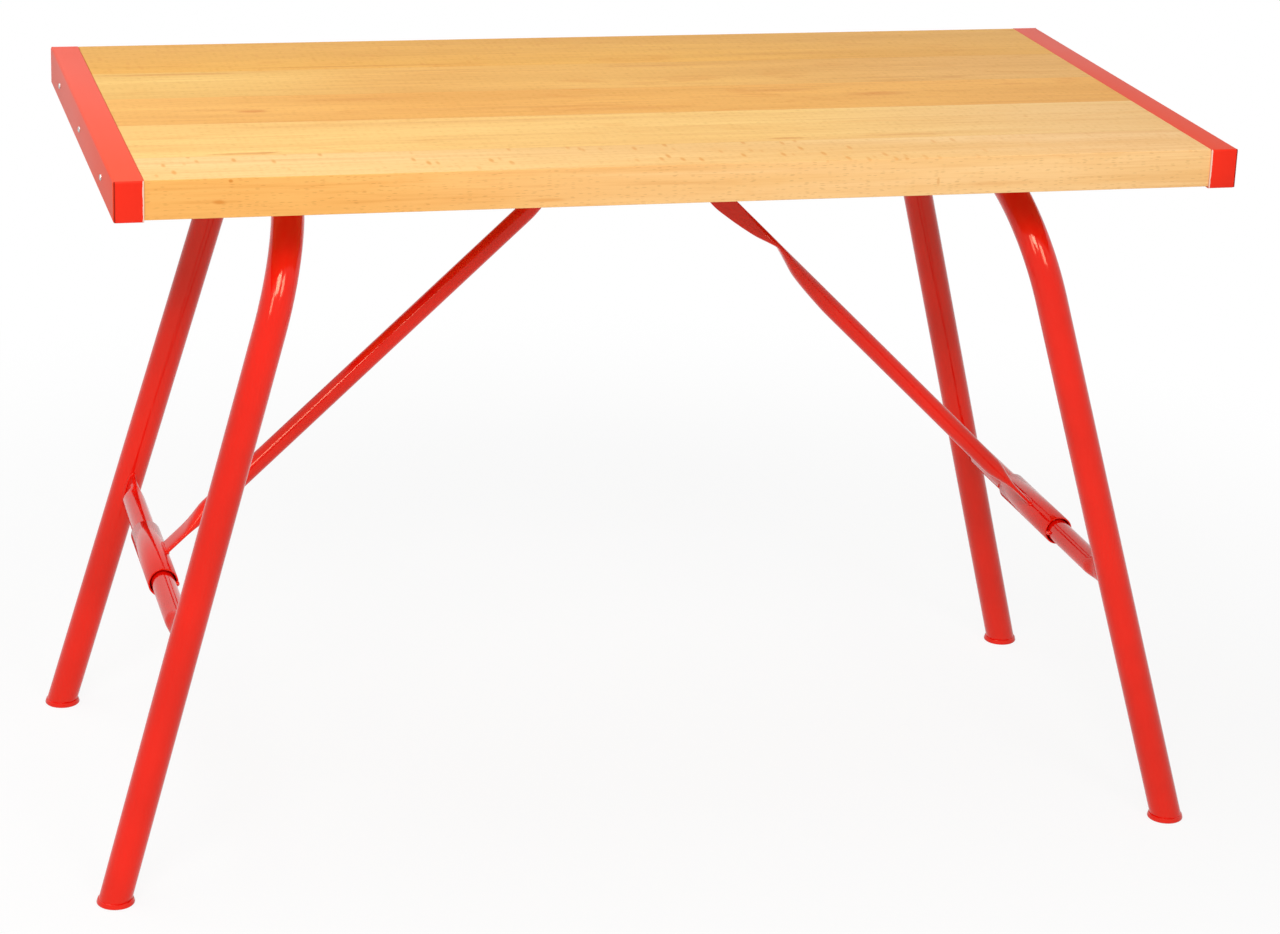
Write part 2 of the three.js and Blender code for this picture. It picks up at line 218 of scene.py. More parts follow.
class Shader(Graph):
    """A material's tree with one Principled shader."""

    def __init__(self, name: str) -> None:
        """Makes the material and clears its tree.

        Args:
            name: The material's name.
        """
        self.material = bpy.data.materials.new(name)
        self.material.use_nodes = True
        super().__init__(self.material.node_tree)
        self.tree.nodes.clear()
        self.place = self.node("ShaderNodeTexCoord", {}, {}, "Object")

    def axes(self) -> tuple[Wire, ...]:
        """The three object coordinates in metres."""
        split = self.node("ShaderNodeSeparateXYZ", {}, {"Vector": self.place})
        return tuple(Wire(self, output) for output in split.socket.node.outputs)

    def spread(self, scale: Sequence[float], shift: Sequence[float] = (0.0, 0.0, 0.0),
               turn: Sequence[float] = (0.0, 0.0, 0.0)) -> Wire:
        """Object coordinates scaled on each axis, turned in radians and then moved."""
        values = {"Vector": self.place, "Location": shift, "Rotation": turn, "Scale": scale}
        return self.node("ShaderNodeMapping", {"vector_type": "POINT"}, values)

    def noise(self, at: Wire, detail: float = 2.0, rough: float = 0.5, bend: float = 0.0) -> Wire:
        """A noise value from 0 to 1, with its octaves, the weight of the fine ones and a distortion."""
        values = {"Vector": at, "Scale": 1.0, "Detail": detail, "Roughness": rough, "Distortion": bend}
        return self.node("ShaderNodeTexNoise", {}, values)

    def cells(self, at: Wire) -> tuple[Wire, Wire]:
        """Voronoi cells of size 1.

        Args:
            at: Coordinates.

        Returns:
            The distance from each cell's point, and a random value from 0 to 1 for each cell.
        """
        cell = self.node("ShaderNodeTexVoronoi", {"feature": "F1"}, {"Vector": at, "Scale": 1.0}, "Distance")
        colour = Wire(self, cell.socket.node.outputs["Color"])
        return cell, self.node("ShaderNodeSeparateColor", {}, {"Color": colour})

    def mix(self, factor: Any, first: Any, second: Any, blend: str = "MIX") -> Wire:
        """Mixes two colours.

        Args:
            factor: Share of the second.
            first: Colour or wire.
            second: Colour or wire.
            blend: Blend type.

        Returns:
            The mixed colour.
        """
        def full(value: Any) -> Any:
            """A colour with its alpha, or the wire as it is."""
            return value if isinstance(value, Wire) else (*value, 1.0)

        settings = {"data_type": "RGBA", "blend_type": blend, "clamp_factor": True}
        return self.node("ShaderNodeMix", settings, {0: factor, 6: full(first), 7: full(second)}, 2)

    def bump(self, height: Wire, strength: float, depth: float) -> Wire:
        """A normal bumped by a height, where 1 is the depth in metres."""
        return self.node("ShaderNodeBump", {}, {"Strength": strength, "Distance": depth, "Height": height})

    def close(self, values: dict[str, Any]) -> bpy.types.Material:
        """Adds the Principled shader and the output.

        Args:
            values: The shader's sockets.

        Returns:
            The finished material.
        """
        shader = self.node("ShaderNodeBsdfPrincipled", {}, values)
        self.node("ShaderNodeOutputMaterial", {}, {"Surface": shader})
        return self.material


@dataclass(frozen=True)
class Mark:
    """A brown mark in a board: a pin knot or a streak."""

    along: float
    across: float
    half_length: float
    half_width: float
    depth: float


@dataclass(frozen=True)
class Beech:
    """Clear-finished beech, board by board, with painted sheen at the paler ends; the front board has no
    joint and bears its marks on its front face, which has painted shade.
    """

    name: str
    light: Colour
    dark: Colour
    seed: float
    streaks: float = 0.45
    cross_flecks: float = 0.0
    blotches: float = 0.42
    marks: tuple[Mark, ...] = ()
    # near and far tint the board's two ends: partly the wood's own tone, partly painted sheen where an end is
    # paler and bluer.
    near: Colour = PLAIN
    far: Colour = (1.0, 1.02, 1.30)
    joint: float | None = None
    # Painted shade on the front face, darker and more orange at the left end, with painted sheen at the right
    # end.
    front_near: Colour = (0.95, 0.76, 0.53)
    front_far: Colour = (1.0, 0.98, 1.08)

    def material(self) -> bpy.types.Material:
        """Builds the board's material.

        Returns:
            The material.
        """
        shader = Shader(f"beech_{self.name}")
        seed = self.seed
        x, y, z = shader.axes()
        sway = shader.noise(shader.spread((1.6, 5.0, 5.0), (seed, 0.0, 0.0)), detail=1.0)
        figure = shader.noise(shader.spread((1.9, 24.0, 24.0), (seed, seed * 2, 1.0)), detail=5.0, rough=0.58,
                              bend=0.5)
        streak = shader.noise(shader.spread((1.2, 46.0, 46.0), (seed * 3, 2.0, seed)), detail=3.0, bend=0.35)
        fibre = shader.noise(shader.spread((16.0, 620.0, 620.0), (0.0, seed, 0.0)), detail=2.0)
        lines = shader.noise(shader.spread((3.2, 170.0, 170.0), (seed, 5.0, 0.0)), detail=3.0, rough=0.6)
        cell, chance = shader.cells(shader.spread((120.0, 760.0, 760.0), (seed, 0.0, 0.0)))
        dash = cell.step(0.42, 0.18) * chance.step(0.5, 0.62)

        tone = (figure * 0.62 + sway * 0.5 - 0.06).step(0.30, 0.74)
        colour = shader.mix(tone, self.dark, self.light)
        brown = tinted(self.dark, (0.84, 0.66, 0.46))
        blotch_at = shader.spread((8.0, 30.0, 30.0), (seed, seed * 0.7, 3.0))
        blotch = shader.noise(blotch_at, detail=4.0, rough=0.6, bend=1.1)
        warm = tinted(self.dark, (0.96, 0.82, 0.62))
        pale = tuple(min(1.0, value) for value in tinted(self.light, (1.02, 1.05, 1.12)))
        layers = (
            (blotch.step(0.54, 0.70), self.blotches, warm),
            (streak.step(0.44, 0.24), 0.45, pale),
            (streak.step(0.56, 0.80), self.streaks, brown),
            (lines.step(0.50, 0.74), 0.40, brown),
            (fibre.step(0.46, 0.80), 0.26, brown),
            (dash, 0.34, shaded(brown, 0.7)),
        )
        for mask, share, tint in layers:
            colour = shader.mix(mask * share, colour, tint)
        height = fibre * 0.5 + lines * 0.3 - dash * 0.35
        if self.cross_flecks:
            fleck_at = shader.spread((98.0, 30.0, 1.0), (seed, 0.3, 0.0), (0.0, 0.0, 0.40))
            cell, chance = shader.cells(fleck_at)
            patch_at = shader.spread((9.0, 14.0, 3.0), (2.2, 0.0, 0.0))
            patch = shader.noise(patch_at, detail=1.0).step(0.34, 0.52)
            fleck = cell.step(0.34, 0.10) * chance.step(0.40, 0.48) * patch * z.step(0.797, 0.799)
            deep = tinted(self.dark, (0.88, 0.64, 0.34))
            fading = x.step(0.45, 0.05) * 0.75 + 0.25
            colour = shader.mix(fleck * fading * self.cross_flecks, colour, deep)
        # Painted sheen along the board, and painted shade on the front face.
        colour = self._drift(shader, (x, y), colour)
        ragged = shader.noise(shader.spread((60.0, 260.0, 260.0)), detail=3.0)
        for mark in self.marks:
            colour = self._stain(shader, mark, (x, z if self.joint is None else y), ragged, colour)
        return shader.close({
            "Base Color": colour,
            "Roughness": 0.46 + fibre * 0.10 + dash * 0.1,
            "Specular IOR Level": 0.22,
            "Specular Tint": (1.0, 0.90, 0.70, 1.0),
            "Normal": shader.bump(height, 0.22, 0.00025),
        })

    def _drift(self, shader: Shader, at: tuple[Wire, Wire], colour: Wire) -> Wire:
        """Tints the board along its length, partly its own tone and partly painted sheen, and draws its glue
        line or the painted shade of its front face.

        Args:
            shader: The board's tree.
            at: Places along and across the bench.
            colour: The colour so far.

        Returns:
            The tinted colour.
        """
        x, y = at
        # Tints from the left end to the right: partly the wood's own tone, partly painted sheen where an end
        # is paler and bluer.
        tone_and_sheen = shader.mix(x.step(-0.2, -0.5), shader.mix(x.step(0.1, 0.5), PLAIN, self.far), self.near)
        if self.joint is None:
            # The front face gets painted shade: darker and more orange at the left, with painted sheen
            # towards the right.
            face = shader.mix(x.step(-0.40, 0.06), self.front_near, self.front_far)
            tone_and_sheen = shader.mix(y.step(-0.2990, -0.2997), tone_and_sheen, face)
        colour = shader.mix(1.0, colour, tone_and_sheen, "MULTIPLY")
        if self.joint is not None:
            line = abs(y - self.joint).step(0.0017, 0.0004) * 0.42
            colour = shader.mix(line, colour, tinted(self.dark, (0.86, 0.66, 0.42)))
        return colour

    def _stain(self, shader: Shader, mark: Mark, at: tuple[Wire, Wire], ragged: Wire, colour: Wire) -> Wire:
        """Darkens the colour at one mark.

        Args:
            shader: The board's tree.
            mark: The mark.
            at: The face's two coordinates.
            ragged: Noise that breaks up the mark's edge.
            colour: The colour so far.

        Returns:
            The stained colour.
        """
        along = (at[0] - mark.along) / mark.half_length
        across = (at[1] - mark.across) / mark.half_width
        reach = (along * along + across * across) ** 0.5 + (ragged - 0.5) * 0.9
        stain = reach.step(1.0, 0.25) * mark.depth
        deep = tinted(self.dark, (0.78, 0.48, 0.22))
        return shader.mix(stain, colour, deep)


@dataclass(frozen=True)
class RedPaint:
    """Glossy red paint on steel, with a fine skin, dull patches and optional chipped edges, a painted shade
    line in the gap and painted sheen and shade off the tabs.
    """

    name: str
    red: Colour = (0.86, 0.006, 0.002)
    gloss: float = 0.085
    shine: float = 0.46
    chip_at: float | None = None
    # Where a painted shade line marks the gap between each tab and the web.
    seam_at: float | None = None
    # Painted sheen on the faces off the tabs; the right channel's is darker as painted shade.
    faded: Colour | None = None

    def material(self) -> bpy.types.Material:
        """Builds the paint.

        Returns:
            The material.
        """
        shader = Shader(f"red_paint_{self.name}")
        x, y, _ = shader.axes()
        cloud = shader.noise(shader.spread((7.0, 7.0, 7.0)), detail=3.0)
        skin = shader.noise(shader.spread((90.0, 90.0, 90.0)), detail=1.0)
        dust = shader.noise(shader.spread((1500.0, 1500.0, 1500.0)), detail=2.0)
        scuff = shader.noise(shader.spread((30.0, 30.0, 160.0)), detail=4.0, rough=0.65).step(0.62, 0.74)
        deep = tinted(self.red, (0.86, 0.72, 0.72))
        colour = shader.mix(cloud.step(0.30, 0.70), deep, self.red)
        colour = shader.mix(dust.step(0.66, 0.80) * 0.08, colour, (0.92, 0.16, 0.11))
        rough = self.gloss + cloud * 0.05 + scuff * 0.02
        height = skin
        if self.chip_at is not None:
            breakup = shader.noise(shader.spread((260.0, 260.0, 210.0)), detail=3.0, rough=0.7)
            on_tab = abs(y).step(0.3004, 0.3012)
            # Faces off the tabs take a paler, more orange colour as painted sheen; on the right channel it is
            # darker as painted shade.
            colour = shader.mix(on_tab, self.faded, colour)
            # A dark line at the tab's outer edge is painted shade in the gap beside the web.
            gap_shade = (abs(x - self.seam_at).step(0.0022, 0.0004) + breakup * 0.5).step(0.62, 0.95) * on_tab
            colour = shader.mix(gap_shade * 0.75, colour, shaded(self.red, 0.16))
            edge = abs(x - self.chip_at).step(0.0030, 0.0003)
            chip = (edge * 0.9 + breakup - 0.62).step(0.40, 0.52) * on_tab
            colour = shader.mix(chip * 0.85, colour, (0.86, 0.66, 0.52))
            rough = rough + chip * 0.3 + gap_shade * 0.2
            height = height - chip * 0.8
        return shader.close({
            "Base Color": colour,
            "Roughness": rough,
            "Specular IOR Level": self.shine,
            "Specular Tint": (1.0, 0.78, 0.52, 1.0),
            "Normal": shader.bump(height, 0.02, 0.0003),
        })


@dataclass(frozen=True)
class PlatedSteel:
    """Plated or turned steel with fine streaks and cloudy grey patches."""

    kind: Steel

    def material(self) -> bpy.types.Material:
        """Builds the metal.

        Returns:
            The material.
        """
        slot, grey, rough, count = self.kind.value
        shader = Shader(slot)
        streak = shader.noise(shader.spread((count, count * 0.08, count)), detail=3.0, rough=0.6)
        patch = shader.noise(shader.spread((90.0, 90.0, 90.0)), detail=4.0, rough=0.6)
        spots = shader.noise(shader.spread((700.0, 700.0, 700.0)), detail=1.0).step(0.66, 0.80)
        colour = shader.mix(patch.step(0.30, 0.72), shaded(grey, 0.66), grey)
        colour = shader.mix(spots * 0.25, colour, shaded(grey, 0.45))
        return shader.close({
            "Base Color": colour,
            "Metallic": 1.0,
            "Roughness": rough + streak * 0.16 + spots * 0.15,
            "Normal": shader.bump(streak, 0.10, 0.0002),
        })


class Skin:
    """Closed shells gathered into one mesh piece."""

    def __init__(self) -> None:
        """Starts empty."""
        self.points: list[Vector] = []
        self.faces: list[tuple[int, ...]] = []

    def loft(self, rings: Sequence[Ring], round_again: bool = False) -> Skin:
        """Adds a skin through rings of equal count.

        Args:
            rings: Rings in order; a ring of one point is a pole.
            round_again: Joins the last ring to the first in place of end faces.

        Returns:
            The skin itself.
        """
        starts = []
        for ring in rings:
            starts.append(len(self.points))
            self.points.extend(ring)
        pairs = list(zip(range(len(rings) - 1), range(1, len(rings))))
        if round_again:
            pairs.append((len(rings) - 1, 0))
        for first, second in pairs:
            self._band(starts[first], len(rings[first]), starts[second], len(rings[second]))
        if not round_again:
            for index in (0, len(rings) - 1):
                if len(rings[index]) > 2:
                    self.faces.append(tuple(range(starts[index], starts[index] + len(rings[index]))))
        return self

    def _band(self, first: int, count: int, second: int, other: int) -> None:
        """Adds the faces between two rings.

        Args:
            first: Start of the first ring.
            count: Its points.
            second: Start of the second ring.
            other: Its points.
        """
        total = max(count, other)
        for k in range(total):
            after = (k + 1) % total
            if count == 1:
                self.faces.append((first, second + after, second + k))
            elif other == 1:
                self.faces.append((first + k, first + after, second))
            else:
                self.faces.append((first + k, first + after, second + after, second + k))

    def prism(self, outline: Sequence[Point], place: Callable[[float, float, float], Vector],
              low: float, high: float) -> Skin:
        """Adds a closed outline of (u, v), put in place at two depths and joined."""
        return self.loft([[place(u, v, depth) for u, v in outline] for depth in (low, high)])

    def turned(self, profile: Sequence[Point], origin: Vector, axis: Vector, count: int = 40,
               ribs: float = 0.0, ribbed: Point = (0.0, 0.0)) -> Skin:
        """Adds a turned piece.

        Args:
            profile: Pairs of (radius, height) in order.
            origin: Where height is 0.
            axis: Direction of height.
            count: Points round it.
            ribs: Depth of grip ribs.
            ribbed: Heights between which the ribs lie.

        Returns:
            The skin itself.
        """
        around = spokes(axis, count)
        rings = []
        for radius, height in profile:
            centre = origin + axis * height
            if radius < MERGE:
                rings.append([centre])
                continue
            cut = ribs if ribbed[0] <= height <= ribbed[1] else 0.0
            rings.append([centre + out * (radius - cut * (k % 2)) for k, out in enumerate(around)])
        return self.loft(rings)

    def collar(self, profile: Sequence[Point], origin: Vector, axis: Vector, count: int = 56) -> Skin:
        """Adds a ring with a closed profile round an axis.

        Args:
            profile: Closed profile of (radius, height).
            origin: Where height is 0.
            axis: Direction of height.
            count: Points round it.

        Returns:
            The skin itself.
        """
        rings = [[origin + axis * height + out * radius for radius, height in profile]
                 for out in spokes(axis, count)]
        return self.loft(rings, round_again=True)

    def piece(self, name: str, material: bpy.types.Material, ease: float = 0.0,
              eased: Callable[[Vector, Vector], bool] | None = None,
              soft: float = SMOOTH_ANGLE) -> bpy.types.Object:
        """Turns the skin into an object.

        Args:
            name: Piece name.
            material: Its finish.
            ease: Bevel width on sharp edges, or 0.
            eased: Picks the edges to bevel by their ends; all sharp edges if None.
            soft: Angle in degrees under which shading is smooth.

        Returns:
            The linked object.
        """
        work = bmesh.new()
        made = [work.verts.new(point) for point in self.points]
        for face in self.faces:
            work.faces.new([made[index] for index in face])
        bmesh.ops.remove_doubles(work, verts=work.verts[:], dist=MERGE)
        bmesh.ops.recalc_face_normals(work, faces=work.faces[:])
        if ease:
            edges = []
            for edge in work.edges:
                ends = (edge.verts[0].co, edge.verts[1].co)
                if len(edge.link_faces) == 2 and edge.calc_face_angle() > math.radians(BEVEL_ANGLE):
                    if eased is None or eased(*ends):
                        edges.append(edge)
            bmesh.ops.bevel(work, geom=edges, offset=ease, segments=3, profile=0.5, affect="EDGES",
                            clamp_overlap=True)
        mesh = bpy.data.meshes.new(name)
        work.to_mesh(mesh)
        work.free()
        return dress(bpy.data.objects.new(name, mesh), material, soft)


def spokes(axis: Vector, count: int) -> list[Vector]:
    """Unit vectors round an axis.

    Args:
        axis: A unit vector.
        count: How many.

    Returns:
        The vectors, evenly turned and square to the axis.
    """
    side = axis.orthogonal().normalized()
    other = axis.cross(side)
    turns = [2 * math.pi * k / count for k in range(count)]
    return [side * math.cos(turn) + other * math.sin(turn) for turn in turns]


def arc(centre: Point, radius: float, start: float, stop: float, steps: int) -> list[Point]:
    """Points on an arc from one angle in degrees to another, in equal steps and with both ends."""
    angles = [math.radians(start + (stop - start) * k / steps) for k in range(steps + 1)]
    return [(centre[0] + radius * math.cos(turn), centre[1] + radius * math.sin(turn)) for turn in angles]


def oval(centre: Vector, across: Vector, up: Vector, half_across: float, half_up: float, power: float,
         count: int = 48) -> Ring:
    """A rounded flat section.

    Args:
        centre: Its middle.
        across: Unit vector of its width.
        up: Unit vector of its height.
        half_across: Half its width.
        half_up: Half its height.
        power: 1 for an ellipse, less for a squarer shape.
        count: Points round it.

    Returns:
        The ring.
    """
    ring = []
    for k in range(count):
        angle = 2 * math.pi * (k + 0.5) / count
        c, s = math.cos(angle), math.sin(angle)
        u = math.copysign(abs(c) ** power, c) * half_across
        v = math.copysign(abs(s) ** power, s) * half_up
        ring.append(centre + across * u + up * v)
    return ring


def between_rows(rows: Sequence[Sequence[float]], steps: int, level: bool = False) -> list[list[float]]:
    """Rows of numbers with rows between them on a smooth curve.

    Args:
        rows: Rows in order of their first number.
        steps: Rows made in each gap.
        level: Makes the curve level at every row, not only at ends, peaks and dips.

    Returns:
        All the rows.
    """
    def slope(index: int, column: int) -> float:
        """The curve's slope at a row.

        Args:
            index: The row.
            column: The number in it.

        Returns:
            The slope.
        """
        if level or index in (0, len(rows) - 1):
            return 0.0
        low, here, high = rows[index - 1], rows[index], rows[index + 1]
        before = (here[column] - low[column]) / (here[0] - low[0])
        after = (high[column] - here[column]) / (high[0] - here[0])
        return 0.0 if before * after <= 0 else 2 * before * after / (before + after)

    result = []
    for index in range(len(rows) - 1):
        low, high = rows[index], rows[index + 1]
        gap = high[0] - low[0]
        for k in range(steps):
            t = k / steps
            row = [low[0] + gap * t]
            for c in range(1, len(low)):
                first = (1 + 2 * t) * (1 - t) ** 2 * low[c] + t * (1 - t) ** 2 * gap * slope(index, c)
                second = t * t * (3 - 2 * t) * high[c] + t * t * (t - 1) * gap * slope(index + 1, c)
                row.append(first + second)
            result.append(row)
    return result + [list(rows[-1])]


def link(item: bpy.types.Object) -> bpy.types.Object:
    """Links an object into the scene and gives it back."""
    bpy.context.scene.collection.objects.link(item)
    return item


def dress(piece: bpy.types.Object, material: bpy.types.Material,
          soft: float = SMOOTH_ANGLE) -> bpy.types.Object:
    """Links a mesh piece and gives it its finish and shading.

    Args:
        piece: The object.
        material: Its finish.
        soft: Angle in degrees under which shading is smooth.

    Returns:
        The object.
    """
    if piece.name not in bpy.context.scene.collection.objects:
        link(piece)
    piece.data.materials.clear()
    piece.data.materials.append(material)
    piece.data.shade_smooth()
    piece.data.set_sharp_from_angle(angle=math.radians(soft))
    return piece


def freeze(piece: bpy.types.Object) -> None:
    """Gives a piece its evaluated shape as a plain mesh and clears its modifiers.

    Args:
        piece: The object.
    """
    graph = bpy.context.evaluated_depsgraph_get()
    mesh = bpy.data.meshes.new_from_object(piece.evaluated_get(graph))
    piece.modifiers.clear()
    piece.data = mesh


def settle(piece: bpy.types.Object, body: str, nodes: Sequence[str] = ()) -> None:
    """Ties a piece to the frame and reports it.

    Args:
        piece: The finished object.
        body: The body it moves with.
        nodes: The CAD nodes that it stands for.
    """
    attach(piece, body)
    if nodes:
        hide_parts(*nodes)
    log.info("%s: %d faces on %s", piece.name, len(piece.data.polygons), body)


class Weave(Graph):
    """A Geometry Nodes tree with named inputs."""

    def __init__(self, name: str) -> None:
        """Makes an empty tree with its geometry in and out.

        Args:
            name: The tree's name.
        """
        super().__init__(bpy.data.node_groups.new(name, "GeometryNodeTree"))
        self.ids: dict[str, str] = {}
        face = self.tree.interface
        face.new_socket("Geometry", in_out="INPUT", socket_type="NodeSocketGeometry")
        face.new_socket("Geometry", in_out="OUTPUT", socket_type="NodeSocketGeometry")
        self.entry = self.tree.nodes.new("NodeGroupInput")
        self.source = Wire(self, self.entry.outputs["Geometry"])

    def size(self, name: str, kind: str) -> Wire:
        """Adds a named input.

        Args:
            name: Input name.
            kind: Float, Int, Object or Material.

        Returns:
            The input's wire.
        """
        made = self.tree.interface.new_socket(name, in_out="INPUT", socket_type=f"NodeSocket{kind}")
        self.ids[name] = made.identifier
        return Wire(self, self.entry.outputs[name])

    def close(self, shape: Wire, material: Wire) -> None:
        """Realizes instances, sets the material and ends the tree.

        Args:
            shape: The geometry.
            material: The material input.
        """
        real = self.node("GeometryNodeRealizeInstances", {}, {"Geometry": shape})
        done = self.node("GeometryNodeSetMaterial", {}, {"Geometry": real, "Material": material})
        self.node("NodeGroupOutput", {}, {"Geometry": done})

    def grow(self, name: str, seed: bpy.types.Mesh, values: dict[str, Any]) -> bpy.types.Object:
        """Runs the tree on a mesh and keeps the result as a plain mesh.

        Args:
            name: Piece name.
            seed: Mesh of points or a path.
            values: The named inputs.

        Returns:
            The new object with a plain mesh.
        """
        piece = link(bpy.data.objects.new(name, seed))
        modifier = piece.modifiers.new(name, "NODES")
        modifier.node_group = self.tree
        for key, value in values.items():
            modifier[self.ids[key]] = value
        freeze(piece)
        return piece


class TubeWeave(Weave):
    """A round tube swept along a path."""

    def __init__(self) -> None:
        """Builds the tree."""
        super().__init__("tube_on_path")
        radius = self.size("Radius", "Float")
        sides = self.size("Sides", "Int")
        material = self.size("Material", "Material")
        path = self.node("GeometryNodeMeshToCurve", {}, {"Mesh": self.source})
        circle = self.node("GeometryNodeCurvePrimitiveCircle", {"mode": "RADIUS"},
                           {"Resolution": sides, "Radius": radius})
        tube = self.node("GeometryNodeCurveToMesh", {},
                         {"Curve": path, "Profile Curve": circle, "Fill Caps": True})
        self.close(tube, material)


class BeadWeave(Weave):
    """A rippled weld bead on a closed path."""

    def __init__(self) -> None:
        """Builds the tree."""
        super().__init__("weld_bead")
        radius = self.size("Bead Radius", "Float")
        pitch = self.size("Pitch", "Float")
        material = self.size("Material", "Material")
        path = self.node("GeometryNodeMeshToCurve", {}, {"Mesh": self.source})
        even = self.node("GeometryNodeResampleCurve", {"mode": "LENGTH"},
                         {"Curve": path, "Length": pitch * 0.25})
        count = self.node("GeometryNodeInputIndex", {}, {})
        wave = count.calculate("SINE", count * (math.pi / 2))
        swell = self.node("GeometryNodeSetCurveRadius", {}, {"Curve": even, "Radius": wave * 0.16 + 0.9})
        circle = self.node("GeometryNodeCurvePrimitiveCircle", {"mode": "RADIUS"},
                           {"Resolution": 8, "Radius": radius})
        bead = self.node("GeometryNodeCurveToMesh", {}, {"Curve": swell, "Profile Curve": circle})
        self.close(bead, material)

    def lay(self, name: str, ring: Ring, sizes: Point, material: bpy.types.Material, body: str) -> None:
        """Lays a painted bead on a closed ring and settles it.

        Args:
            name: Piece name.
            ring: The bead's path.
            sizes: Its radius and the pitch of its ripples.
            material: Its finish.
            body: The body it moves with.
        """
        values = {"Bead Radius": sizes[0], "Pitch": sizes[1], "Material": material}
        piece = self.grow(name, path_mesh(name, ring, closed=True), values)
        settle(dress(piece, material, BEAD_ANGLE), body)


class ScrewWeave(Weave):
    """Screw heads set on points that carry a facing vector and a share of the size, turned at random."""

    def __init__(self) -> None:
        """Builds the tree."""
        super().__init__("screw_heads")
        head = self.size("Head", "Object")
        radius = self.size("Head Radius", "Float")
        material = self.size("Material", "Material")
        shape = self.node("GeometryNodeObjectInfo", {}, {"Object": head, "As Instance": True}, "Geometry")
        facing = self.node("GeometryNodeInputNamedAttribute", {"data_type": "FLOAT_VECTOR"},
                           {"Name": "facing"})
        turn = self.node("FunctionNodeAlignRotationToVector", {"axis": "Z"}, {"Vector": facing})
        chance = self.node("FunctionNodeRandomValue", {"data_type": "FLOAT"}, {"Seed": 7}, 1)
        spin = self.node("ShaderNodeCombineXYZ", {}, {"Z": chance * (2 * math.pi)})
        spun = self.node("FunctionNodeRotateRotation", {"rotation_space": "LOCAL"},
                         {"Rotation": turn, "Rotate By": spin})
        points = self.node("GeometryNodeMeshToPoints", {}, {"Mesh": self.source})
        share = self.node("GeometryNodeInputNamedAttribute", {"data_type": "FLOAT"}, {"Name": "share"})
        width = radius * share
        size = self.node("ShaderNodeCombineXYZ", {}, {"X": width, "Y": width, "Z": width})
        heads = self.node("GeometryNodeInstanceOnPoints", {},
                          {"Points": points, "Instance": shape, "Rotation": spun, "Scale": size})
        self.close(heads, material)


def path_mesh(name: str, points: Sequence[Vector], joined: bool = True,
              closed: bool = False) -> bpy.types.Mesh:
    """A mesh of points, joined by edges.

    Args:
        name: Mesh name.
        points: The points in order.
        joined: Joins each to the next.
        closed: Joins the last to the first.

    Returns:
        The mesh.
    """
    edges = [(k, k + 1) for k in range(len(points) - 1)] if joined else []
    if closed:
        edges.append((len(points) - 1, 0))
    mesh = bpy.data.meshes.new(name)
    mesh.from_pydata([tuple(point) for point in points], edges, [])
    return mesh


